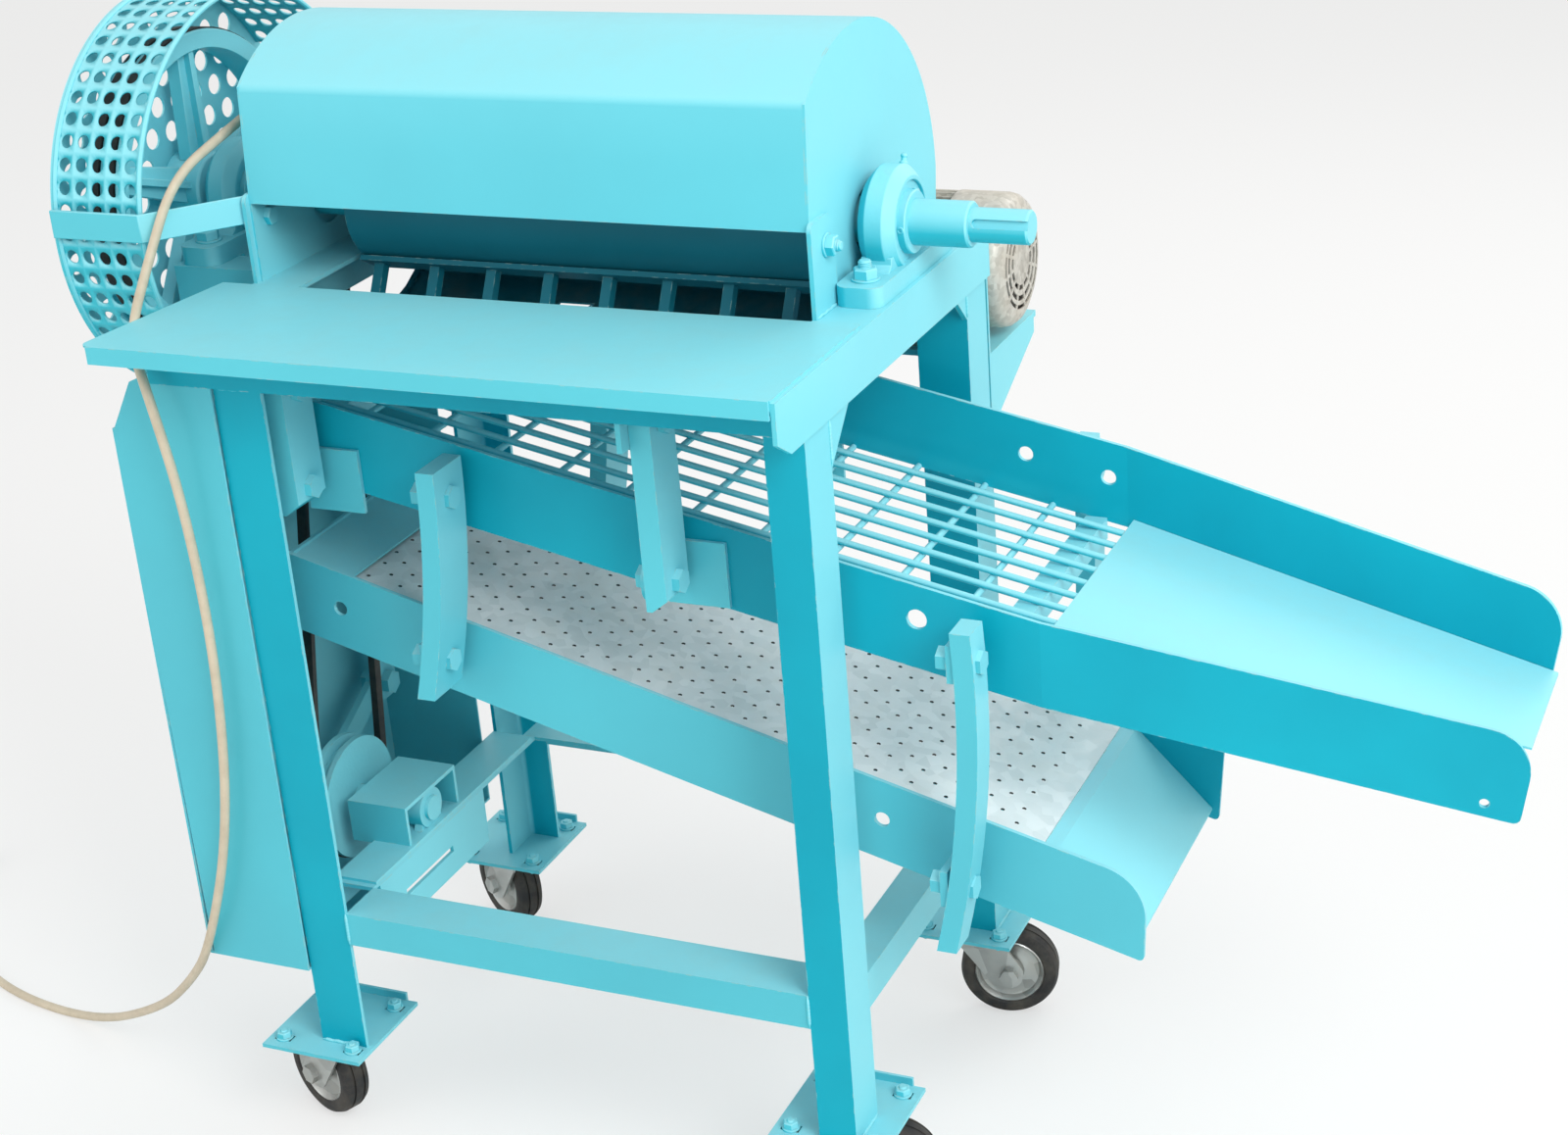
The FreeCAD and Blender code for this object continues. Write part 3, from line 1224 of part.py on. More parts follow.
def sloped_sheet(corners, height, t):
    """Sheet on a slope: plan corners and a height for each x."""
    points = [Vector(x, y, height(x)) for x, y in corners]
    face = Part.Face(Part.makePolygon(points + [points[0]]))
    return face.extrude(Vector(0, 0, -t))


def chute_floor():
    """Smooth sheet from the rods to the end of the chute."""
    x1 = RIGHT + UPPER_RIGHT
    x2 = RIGHT + CHUTE_END - 6
    y0 = BOARD_Y[0] + BOARD_T
    y1 = BOARD_Y[1] - BOARD_T
    shift = (x2 - x1) * math.tan(math.radians(CHUTE_TAPER)) + 0.6
    corners = [(x1 + 5, y0 + 1.2), (x2, y0 + shift), (x2, y1 - shift), (x1 + 5, y1 - 1.2)]
    return sloped_sheet(corners, lambda x: upper_top(x) - FLOOR_DROP, SHEET_T)


# Lower tray

def lower_front_board():
    """Front board of the lower tray."""
    x0 = RIGHT + LOWER_LEFT
    x1 = RIGHT + LOWER_RIGHT
    deep = board_depth(LOWER_SLOPE)
    y = BOARD_Y[0]
    left, right = lower_top(x0), lower_top(x1)
    board = plate_y([(x0, left), (x1, right), (x1 - 4, right - deep), (x0, left - deep)],
                    y, y + BOARD_T, [0, 44, 4, 0])
    for x in (RIGHT + spot for spot in LOWER_HOLES):
        start = Vector(x, y - BOARD_T, lower_top(x) - LOWER_HOLE_DROP)
        board = board.cut(Part.makeCylinder(LOWER_HOLE_R, 3 * BOARD_T, start, Vector(0, 1, 0)))
    return board


def lower_rear_board():
    """Rear board with a raised guard plate beside the end sheet."""
    x0 = RIGHT + LOWER_LEFT
    x1 = RIGHT + LOWER_SHEET_RIGHT - 14
    x2 = RIGHT + LOWER_RIGHT
    deep = board_depth(LOWER_SLOPE)
    y = BOARD_Y[1]
    points = [(x0, lower_top(x0)), (x1, lower_top(x1) - LOWER_FLOOR_DROP + 2), (x2, lower_top(x2) + 2),
              (x2 - 6, lower_top(x2) - deep), (x0, lower_top(x0) - deep)]
    return plate_y(points, y - BOARD_T, y, [0, 0, 8, 4, 0])


def lower_floor(x):
    """Height of the lower tray's sheet."""
    return lower_top(x) - LOWER_FLOOR_DROP


def lower_sheet():
    """Perforated floor of the lower tray."""
    x0 = RIGHT + LOWER_LEFT + 2
    x1 = RIGHT + LOWER_SHEET_RIGHT
    y0 = BOARD_Y[0] + BOARD_T
    y1 = BOARD_Y[1] - BOARD_T
    return sloped_sheet([(x0, y0), (x1, y0), (x1, y1), (x0, y1)], lower_floor, SHEET_T)


def lower_end():
    """Left end plate with the drive arm, and the steep end sheet."""
    x0 = RIGHT + LOWER_LEFT
    y0 = BOARD_Y[0]
    y1 = BOARD_Y[1]
    z1 = lower_top(x0)
    deep = board_depth(LOWER_SLOPE)
    end = box(x0 - BOARD_T, x0, y0, y1, z1 - deep, z1 - 4)
    inner = x0 + END_HOOD
    z2 = lower_top(inner)
    corners = [(x0 - BOARD_T, z1 - 6), (inner, z2 - 6), (inner, z2 - 8), (x0 - BOARD_T, z1 - 8)]
    hood = plate_y(corners, y0 + BOARD_T, y1 - BOARD_T)
    ay, az = FRONT + ARM_Y, HUNG + ARM_Z
    arm_right = x0 - BOARD_T
    arm_left = pitman_x() + PITMAN_T + LUG_GAP
    arm = plate_x([(ay - 8, z1 - 10), (ay + 16, z1 - 10), (ay + ARM_HALF, az - ARM_HALF),
                   (ay - ARM_HALF, az - ARM_HALF)], arm_left, arm_left + 8, [0, 0, 12, 12])
    spacer = box(arm_left, arm_right, ay - 8, ay + 16, z1 - deep, z1 - 10)
    nut = hexagon(Vector(arm_left + 8, ay, az), Vector(1, 0, 0), PITMAN_HEX, PIVOT_NUT)
    return fused(end, hood, arm, spacer, nut)


def lower_chute():
    """Steep sheet at the right end of the lower tray."""
    x1 = RIGHT + LOWER_SHEET_RIGHT
    x2 = RIGHT + LOWER_RIGHT - 12
    y0 = BOARD_Y[0] + BOARD_T
    y1 = BOARD_Y[1] - BOARD_T
    z1 = lower_floor(x1)
    z2 = z1 - LOWER_CHUTE_DROP
    t = SHEET_T
    points = [(x1, z1), (x1 + 12, z1 - 4), (x2, z2), (x2, z2 - t), (x1 + 11, z1 - 4 - t), (x1, z1 - t)]
    return plate_y(points, y0, y1)


# Links

def link(line, depth, top, low, tail, y):
    """Bowed flat bar through three points, with a bolt and a lug at each pivot."""
    half = LINK_X / 2
    z_top = top + LINK_HEAD
    z_low = low - tail
    z_mid = (z_top + z_low) / 2
    xs = [RIGHT + x for x in line]
    front = y - depth / 2

    def bow(shift):
        ends = [Vector(x + shift, front, z) for x, z in zip(xs, (z_top, z_mid, z_low))]
        return ends, Part.Arc(*ends).toShape()

    left_ends, left = bow(-half)
    right_ends, right = bow(half)
    edges = [left, Part.LineSegment(left_ends[2], right_ends[2]).toShape(), right,
             Part.LineSegment(right_ends[0], left_ends[0]).toShape()]
    parts = [Part.Face(Part.Wire(Part.__sortEdges__(edges))).extrude(Vector(0, depth, 0))]
    board = BOARD_Y[0] if y < BOARD_Y[0] else BOARD_Y[1]
    side = 1 if board > y else -1
    for z in (top, low):
        x = link_x(xs, z_top, z_mid, z_low, z)
        parts.append(hexagon(Vector(x + half - 2, y, z), Vector(1, 0, 0), PIVOT_HEX, LUG_NUT))
        parts.append(rod_x(x - half - LUG_T - 8, x, y, z, PIN_R))
        parts.append(hexagon(Vector(x - half - LUG_T - 1, y, z), Vector(-1, 0, 0), PIVOT_HEX, PIVOT_NUT))
        corners = [(y - side * 12, z - 17), (board, z - 17), (board, z + 17), (y - side * 12, z + 17)]
        parts.append(plate_x(corners, x - half - LUG_T, x - half + 2, [0, 0, 0, 0]))
    return fused(*parts)


def link_x(xs, z_top, z_mid, z_low, z):
    """Middle of the bowed bar at a height."""
    if z > z_mid:
        share = (z - z_mid) / (z_top - z_mid)
        return xs[1] + (xs[0] - xs[1]) * share
    share = (z_mid - z) / (z_mid - z_low)
    return xs[1] + (xs[2] - xs[1]) * share


def links():
    """Four links: each clamps a lower board under an upper one."""
    bars = []
    for line, depth, low, tail in ((LEFT_LINK, LEFT_DEPTH, LINK_LOW_LEFT, LINK_TAIL_LEFT),
                                   (RIGHT_LINK, RIGHT_DEPTH, LINK_LOW_RIGHT, LINK_TAIL_RIGHT)):
        x = RIGHT + line[0]
        deep = board_depth(UPPER_SLOPE)
        front, rear = upper_top(x) - deep * 0.45, rear_board_low(x) + deep * 0.35
        for y, top in ((PIVOT_Y[0], front), (PIVOT_Y[1], rear)):
            bars.append(link(line, depth, top, HUNG + low, tail, y))
    return Part.makeCompound(bars)


# Motor and line shaft

def motor_centre():
    """Axis of the motor in YZ."""
    return REAR + MOTOR_BACK, HUNG + MOTOR_Z


def motor_body():
    """Finned motor with a smooth fan cover at the right and a terminal box."""
    y, z = motor_centre()
    x1 = RIGHT + MOTOR_RIGHT
    x0 = x1 - MOTOR_LENGTH
    core = rod_x(x0 + 14, x1 - 60, y, z, MOTOR_R - MOTOR_FIN)
    cover = rod_x(x1 - 62, x1, y, z, MOTOR_R)
    rims = [e for e in cover.Edges if e.BoundBox.XMin > x1 - 0.01]
    cover = cover.makeChamfer(10, rims)
    front = rod_x(x0, x0 + 16, y, z, MOTOR_R)
    parts = [core, cover, front]
    for k in range(MOTOR_FINS):
        angle = 360 * k / MOTOR_FINS
        fin = box(x0 + 14, x1 - 61, -1.4, 1.4, MOTOR_R - MOTOR_FIN - 2, MOTOR_R - 0.5)
        fin.rotate(Vector(0, 0, 0), Vector(1, 0, 0), angle)
        fin.translate(Vector(0, y, z))
        parts.append(fin)
    base = z - MOTOR_FEET
    for x in (x0 + 30, x1 - 104):
        corners = [(y - 60, base), (y + 60, base), (y + 60, base + 8), (y + 34, z - 40),
                   (y - 34, z - 40), (y - 60, base + 8)]
        parts.append(plate_x(corners, x, x + 34))
    parts.append(box(x0 + 50, x0 + 140, y - 40, y + 40, z + MOTOR_R - 8, z + MOTOR_R + 34))
    gx, gy, gz = gland_point()
    parts.append(rod(Vector(x0 + 51, gy, gz), Vector(gx, gy, gz), 9))
    body = fused(*parts)
    return body.cut(rod_x(x0 - 1, x0 + 12, y, z, 20))


def gland_point():
    """Where the power cord leaves the terminal box."""
    y, z = motor_centre()
    return RIGHT + MOTOR_RIGHT - MOTOR_LENGTH + 50 - 18, y, z + MOTOR_R + 12


def motor_base():
    """Plate behind the frame with two brackets to the rear rail and leg."""
    y, z = motor_centre()
    top = z - MOTOR_FEET
    x1 = RIGHT - STEEL_T
    x0 = RIGHT + MOTOR_RIGHT - MOTOR_LENGTH + 20
    plate = box(x0, x1, REAR, y + 66, top - 6, top)
    parts = [plate]
    for x in (x0, x1 - 6):
        parts.append(plate_x([(REAR, top - 6), (REAR, top - 70), (REAR + 12, top - 70), (y + 60, top - 20),
                              (y + 60, top - 6)], x, x + 6))
    width, t = MOTOR_STRAP
    for x in (x0, x1 - width):
        parts.append(box(x, x + width, REAR, REAR + t, top - 70, TOP - 2 * STEEL_T))
    return fused(*parts)


def line_shaft_brackets():
    """Two brackets behind the rear rail with flange bearings."""
    y, z = motor_centre()
    brackets = []
    for x in [RIGHT - back for back in LINE_BRACKETS]:
        corners = [(REAR, TOP - 8), (REAR, z - 52), (y - 10, z - 44), (y + 44, z - 20), (y + 44, z + 26),
                   (y - 20, z + 46), (REAR + 20, TOP - 8)]
        plate = plate_x(corners, x, x + 8, [0, 0, 20, 20, 20, 20, 0])
        flange = rod_x(x + 8, x + 20, y, z, 38)
        piece = fused(plate, flange)
        brackets.append(piece.cut(rod_x(x - 1, x + 21, y, z, LINE_SHAFT_R + PIN_FIT)))
    return Part.makeCompound(brackets)


def line_shaft():
    """Shaft from the motor coupling to the small drive pulley."""
    y, z = motor_centre()
    x1 = RIGHT + MOTOR_RIGHT - MOTOR_LENGTH
    x = RIGHT - PULLEY_X
    pulley = placed(grooved_rim(x, SMALL_PULLEY_R, PULLEY_W, 2), y, z)
    shaft = rod_x(x - PULLEY_W / 2 - 3, x1 + 6, y, z, LINE_SHAFT_R)
    jaws = [rod_x(x1 - 44, x1 - 4, y, z, 28), rod_x(x1 - 58, x1 - 43, y, z, 19)]
    start = RIGHT - LINE_BRACKETS[0] + 20.4
    collar = rod_x(start, start + 10, y, z, 18)
    return fused(shaft, pulley, *jaws, collar)


# Casters

def caster_spots():
    """Swivel axis of each caster and the turn of its fork."""
    front_right, front_left, rear_right, rear_left = foot_centres()
    return (("front_right", front_right, 24.0), ("front_left", front_left, 158.0),
            ("rear_right", rear_right, 15.0), ("rear_left", rear_left, 150.0))


def crown_top():
    """Upper face of the forks' crowns, just below the caster's plate."""
    return FOOT - FOOT_PLATE_T - HEAD_T - SWIVEL_GAP


def caster_heads():
    """Fixed top plates of the casters with the swivel post."""
    heads = []
    z1 = FOOT - FOOT_PLATE_T
    z0 = z1 - HEAD_T
    cap_top = crown_top() - CROWN_T - SWIVEL_GAP
    for _, (x, y), _ in caster_spots():
        h = FOOT_PLATE / 2 - 4
        plate = box(x - h, x + h, y - h, y + h, z0, z1)
        plate = square_holes(plate, plate_bolts((x, y)), PLATE_BOLT_R, z0 - 1, z1 + 1)
        post = Part.makeCylinder(SWIVEL_R, z1 - cap_top, Vector(x, y, cap_top))
        cap = Part.makeCylinder(CAP_R, 3, Vector(x, y, cap_top - 3))
        heads.append(fused(plate, post, cap))
    return Part.makeCompound(heads)


def turned(shape, spot, angle):
    """Put a caster part, made at the origin, at its swivel axis."""
    shape.rotate(Vector(0, 0, 0), Vector(0, 0, 1), angle)
    shape.translate(Vector(spot[0], spot[1], 0))
    return shape


def caster_fork():
    """Pressed fork: crown, two cheeks, a pedal stub and the axle bolt."""
    top = crown_top()
    crown = Part.makeCylinder(CROWN_R, CROWN_T, Vector(0, 0, top - CROWN_T))
    crown = crown.fuse(box(-38, -20, -12, 12, top - CROWN_T, top))
    crown = crown.cut(Part.makeCylinder(SWIVEL_R + PIN_FIT, CROWN_T + 2, Vector(0, 0, top - CROWN_T - 1)))
    half = WHEEL_W / 2 + 3
    corners = [(-21, top - CROWN_T / 2), (20, top - CROWN_T / 2), (24, top - 12), (TRAIL + 15, WHEEL_R + 6),
               (TRAIL + 12, WHEEL_R - 14), (TRAIL - 14, WHEEL_R - 14), (-16, top - 20)]
    parts = [crown]
    for low in (half, -half - FORK_T):
        parts.append(plate_y(corners, low, low + FORK_T, [0, 0, 0, 12, 12, 12, 0]))
    length = 2 * (half + FORK_T)
    parts.append(Part.makeCylinder(AXLE_R, length, Vector(TRAIL, -length / 2, WHEEL_R), Vector(0, 1, 0)))
    parts.append(hexagon(Vector(TRAIL, length / 2, WHEEL_R), Vector(0, 1, 0), 17, 6))
    parts.append(hexagon(Vector(TRAIL, -length / 2, WHEEL_R), Vector(0, -1, 0), 17, 6))
    return fused(*parts)


def caster_wheel():
    """Tyre with bevelled shoulders, and the hub."""
    half = WHEEL_W / 2
    bore = AXLE_R + PIN_FIT
    bevel = WHEEL_BEVEL
    points = [(bore, -half - 2), (HUB_END_R, -half - 2), (HUB_END_R, -half), (WHEEL_R - bevel, -half),
              (WHEEL_R, -half + bevel), (WHEEL_R, half - bevel), (WHEEL_R - bevel, half), (HUB_END_R, half),
              (HUB_END_R, half + 2), (bore, half + 2)]
    wire = outline(points, [0] * len(points), lambda p: Vector(TRAIL + p.x, p.y, WHEEL_R))
    return Part.Face(wire).revolve(Vector(TRAIL, 0, WHEEL_R), Vector(0, 1, 0), 360)


# Power cord

def from_left_legs(x, y, z):
    """Point measured from the left legs, the front legs and their underside."""
    return Vector(LEFT + x, FRONT + y, FOOT + z)


def cord_points():
    """Route of the cord from the gland over the drives to the floor at the left."""
    gx, gy, gz = gland_point()
    lie = CORD_R + 0.2 - FOOT
    chosen = [(186, 498, 752), (14, 484, 780), (-50, 436, 812), (-68, 345, 852), (-66, 240, 869),
              (-64, 165, 856), (-77, 97, 832), (-91, 62, 766), (-84, 8, 712), (-46, -27, 678),
              (-37, -15, 560), (-35, -13, 400), (-54, -14, 235), (-102, -14, 96), (-160, 18, 28), (-234, 52, -40),
              (-359, 92, lie), (-480, 106, lie), (-584, 158, lie), (-726, 168, lie)]
    points = [Vector(gx, gy, gz), Vector(gx - 88, gy, gz)]
    points += [from_left_legs(*p) for p in chosen]
    return points


def coil_centre():
    """Middle of the coil on the floor, left of what can be seen."""
    return Vector(LEFT - COIL_LEFT, FRONT + COIL_BACK, 0)


def tangent_path(points):
    """Straight runs joined by tangent arcs as wide as the runs allow."""
    edges = []
    radii = []
    start = points[0]
    for i in range(1, len(points) - 1):
        back = points[i - 1] - points[i]
        ahead = points[i + 1] - points[i]
        reach = 0.45 * min(back.Length, ahead.Length)
        half = back.getAngle(ahead) / 2
        radius = reach * math.tan(half)
        back.normalize()
        ahead.normalize()
        inward = back + ahead
        inward.normalize()
        a = points[i] + back * reach
        b = points[i] + ahead * reach
        middle = points[i] + inward * (radius / math.sin(half) - radius)
        edges.append(Part.LineSegment(start, a).toShape())
        edges.append(Part.Arc(a, middle, b).toShape())
        radii.append(radius)
        start = b
    edges.append(Part.LineSegment(start, points[-1]).toShape())
    return Part.Wire(edges), radii


def tube(path, r):
    """Round section swept along a path."""
    start = path.Edges[0].Vertexes[0].Point
    direction = path.Edges[0].tangentAt(path.Edges[0].FirstParameter)
    circle = Part.Wire(Part.makeCircle(r, start, direction))
    return path.makePipeShell([circle], True, False)


def cord_run():
    """Tube of the cord along its uncoiled stretch."""
    points = cord_points()
    path, radii = tangent_path(points)
    shape = tube(path, CORD_R)
    runs = [(b - a).Length for a, b in zip(points, points[1:])]
    print("cord radii", [round(r) for r in radii])
    print("cord runs", [round(r) for r in runs])
    print("cord volume ratio", round(shape.Volume / (math.pi * CORD_R ** 2 * path.Length), 4),
          "length", round(path.Length))
    return shape


def cord_coil():
    """Outer shape of the coil: a flat ring of turns lying on the floor."""
    c = coil_centre()
    outer = COIL_MEAN_R + COIL_BAND
    inner = COIL_MEAN_R - COIL_BAND
    ring = Part.makeCylinder(outer, COIL_HEIGHT, Vector(c.x, c.y, 0.2))
    return ring.cut(Part.makeCylinder(inner, COIL_HEIGHT + 2, Vector(c.x, c.y, -1)))


def cord_plug():
    """Two-pin plug with a tapered grip, lying beside the coil."""
    c = coil_centre()
    y = c.y + COIL_MEAN_R + COIL_BAND
    grip = Part.makeCone(CORD_R + 3, PLUG_R, PLUG_LENGTH / 2, Vector(c.x, y, PLUG_R + 0.3), Vector(0, 1, 0))
    middle = Vector(c.x, y + PLUG_LENGTH / 2, PLUG_R + 0.3)
    body = Part.makeCylinder(PLUG_R, PLUG_LENGTH / 2, middle, Vector(0, 1, 0))
    pins = [Part.makeCylinder(PLUG_PIN_R, PLUG_PIN_LENGTH + 1,
                              Vector(c.x + side * 9.5, y + PLUG_LENGTH - 1, PLUG_R + 0.3), Vector(0, 1, 0))
            for side in (-1, 1)]
    return fused(grip, body, *pins)


def build(nodes):
    """Write each node as a STEP file and print the overall box."""
    os.makedirs("parts", exist_ok=True)
    triangles = {}
    whole = FreeCAD.BoundBox()
    for name, shape in nodes.items():
        shape.exportStep(os.path.join("parts", name + ".step"))
        triangles[name] = len(shape.tessellate(0.3)[1])
        if not name.startswith("cord"):
            whole.add(shape.optimalBoundingBox())
        if not shape.isValid():
            print("not valid:", name)
    print("nodes", len(nodes), "triangles", sum(triangles.values()))
    print("most", sorted(triangles.items(), key=lambda pair: -pair[1])[:14])
    for axis in "XYZ":
        print(axis, round(getattr(whole, axis + "Min"), 2), round(getattr(whole, axis + "Max"), 2))


def legs():
    """The four legs."""
    return Part.makeCompound([leg_front_right(), leg_front_left(), leg_rear_right(), leg_rear_left()])


def main():
    """Build every node and write its file."""
    nodes = {}
    for maker in (legs, top_rails_side, top_rails_cross, low_rails_long, low_rails_side,
                  foot_plates, feed_table, hood_cover, hood_ends, hood_posts, frame_bolts, concave_bars, concave_frame,
                  bearing_housings, bearing_arms, drive_belts, guard_band, guard_back, belt_guard,
                  crank_bracket, hanger_lugs, motor_body, motor_base, line_shaft_brackets, caster_heads,
                  main_shaft, bearing_rings, drum_tube, drum_bars, big_pulley, shaker_pulley, crank, pitman, line_shaft,
                  upper_front_board, upper_rear_board, rod_grid, chute_floor, lower_front_board,
                  lower_rear_board, lower_sheet, lower_end, lower_chute, links, shaker_lugs,
                  cord_run, cord_coil, cord_plug):
        nodes[maker.__name__] = maker()
    for side, spot in zip(("left", "right"), hanger_spots()):
        nodes["hanger_front_" + side] = hanger(spot, PIVOT_Y[0])
        nodes["hanger_rear_" + side] = hanger(spot, PIVOT_Y[1])
    for name, spot, angle in caster_spots():
        nodes["fork_" + name] = turned(caster_fork(), spot, angle)
        nodes["wheel_" + name] = turned(caster_wheel(), spot, angle)
    build(nodes)


main()
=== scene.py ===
"""Dressed model of a peanut picker: enamelled frame, drum hood, belt drives and shaken trays."""

import json
import logging
import math
from dataclasses import dataclass, field
from enum import Enum
from typing import Iterable, Sequence

import bpy
import bmesh
from mathutils import Matrix, Quaternion, Vector


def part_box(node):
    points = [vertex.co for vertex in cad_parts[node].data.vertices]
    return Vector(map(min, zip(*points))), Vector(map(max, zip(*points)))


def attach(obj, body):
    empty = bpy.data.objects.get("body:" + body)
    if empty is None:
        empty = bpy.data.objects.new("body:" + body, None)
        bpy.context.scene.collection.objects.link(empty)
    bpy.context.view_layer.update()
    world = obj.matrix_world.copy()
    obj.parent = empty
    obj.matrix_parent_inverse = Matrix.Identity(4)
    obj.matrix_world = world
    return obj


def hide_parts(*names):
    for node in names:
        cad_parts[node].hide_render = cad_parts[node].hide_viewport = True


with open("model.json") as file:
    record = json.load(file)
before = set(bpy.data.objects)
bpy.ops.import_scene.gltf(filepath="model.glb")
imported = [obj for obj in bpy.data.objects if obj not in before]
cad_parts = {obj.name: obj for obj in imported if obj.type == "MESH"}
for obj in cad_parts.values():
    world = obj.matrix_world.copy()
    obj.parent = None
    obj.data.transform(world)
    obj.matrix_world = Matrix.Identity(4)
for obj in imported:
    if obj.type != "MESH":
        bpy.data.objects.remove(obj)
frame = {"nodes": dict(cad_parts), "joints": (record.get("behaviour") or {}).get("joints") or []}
log = logging.getLogger("peanut_picker")

MM = 0.001
RIGHT = 112.05      # outer face of the right legs, in millimetres as all sizes here
FRONT = -255.5      # outer face of the front legs
FOOT = 112.0        # underside of the legs
TOP = 836.0         # top of the rails
LEFT = RIGHT - 566  # outer face of the left legs
REAR = FRONT + 432  # outer face of the rear legs
STEEL = 4.0         # thickness of the legs and rails
SHAFT_Y = 10.5      # axis of the drum shaft
SHAFT_Z = 885.2
MOTOR_Y = FRONT + 501   # axis of the motor
MOTOR_Z = FOOT + 667
BEARINGS = (RIGHT - 25, RIGHT - 692)    # middle planes of the right and the left pillow block
POST_RIGHT = RIGHT - 46     # outer faces of the hood's posts
POST_LEFT = RIGHT - 604
POST_Y = SHAFT_Y - 128      # front of the hood's posts
X_AXIS = Vector((1, 0, 0))
Z_AXIS = Vector((0, 0, 1))

Point2 = tuple[float, float]
Point3 = tuple[float, float, float]


class Slot(Enum):
    """Material slots of the record; no piece of this script uses them."""

    PAINT = "enamelled_steel"
    GALVANISED = "galvanised_steel"
    CASTING = "painted_cast_iron"
    WHEEL = "wheel_rubber"
    BELT = "belt_rubber"
    MOTOR = "motor_casing"
    CORD = "cord_sheath"
    PLUG = "plug_plastic"


class Body(Enum):
    """CAD bodies that pieces ride on, beside the casters' wheels."""

    FRAME = "frame"
    DRUM = "drum_rotor"
    SHAKER = "shaker"


# Finishes


def linear(hex_colour: str) -> tuple[float, float, float, float]:
    """Turn an sRGB hex colour into linear values.

    Args:
        hex_colour: Colour such as "#4DC8D8".

    Returns:
        Red, green, blue and an alpha of 1.
    """
    values = []
    for start in (1, 3, 5):
        c = int(hex_colour[start:start + 2], 16) / 255
        values.append(c / 12.92 if c <= 0.04045 else ((c + 0.055) / 1.055) ** 2.4)
    return values[0], values[1], values[2], 1.0


def add_node(tree: bpy.types.NodeTree, kind: str, inputs: dict | None = None,
             **settings: object) -> bpy.types.Node:
    """Add a node with its settings, values and links.

    Args:
        tree: Tree that gets the node.
        kind: Type name of the node.
        inputs: Socket name or number to a value, or to the socket that feeds it.
        **settings: Attributes of the node.

    Returns:
        The new node.
    """
    node = tree.nodes.new(kind)
    for name, value in settings.items():
        setattr(node, name, value)
    for socket, value in (inputs or {}).items():
        if isinstance(value, bpy.types.NodeSocket):
            tree.links.new(value, node.inputs[socket])
        else:
            node.inputs[socket].default_value = value
    return node


def per_metre(size_mm: float) -> float:
    """Scale of a pattern whose features lie this many millimetres apart."""
    return 1000 / size_mm


@dataclass(frozen=True)
class Finish:
    """A surface finish; each kind draws its own nodes."""

    name: str

    def material(self) -> bpy.types.Material:
        """Build the material, or find it if it exists.

        Returns:
            The material of this finish.
        """
        found = bpy.data.materials.get(self.name)
        if found:
            return found
        made = bpy.data.materials.new(self.name)
        made.use_nodes = True
        tree = made.node_tree
        tree.nodes.clear()
        shader = add_node(tree, "ShaderNodeBsdfPrincipled")
        add_node(tree, "ShaderNodeOutputMaterial", {"Surface": shader.outputs[0]})
        place = add_node(tree, "ShaderNodeTexCoord").outputs["Object"]
        self.draw(tree, shader, place)
        return made

    def draw(self, tree: bpy.types.NodeTree, shader: bpy.types.Node, place: bpy.types.NodeSocket) -> None:
        """Wire the nodes of this finish.

        Args:
            tree: The material's tree.
            shader: Its principled shader.
            place: Object coordinates, in metres.
        """
        raise NotImplementedError


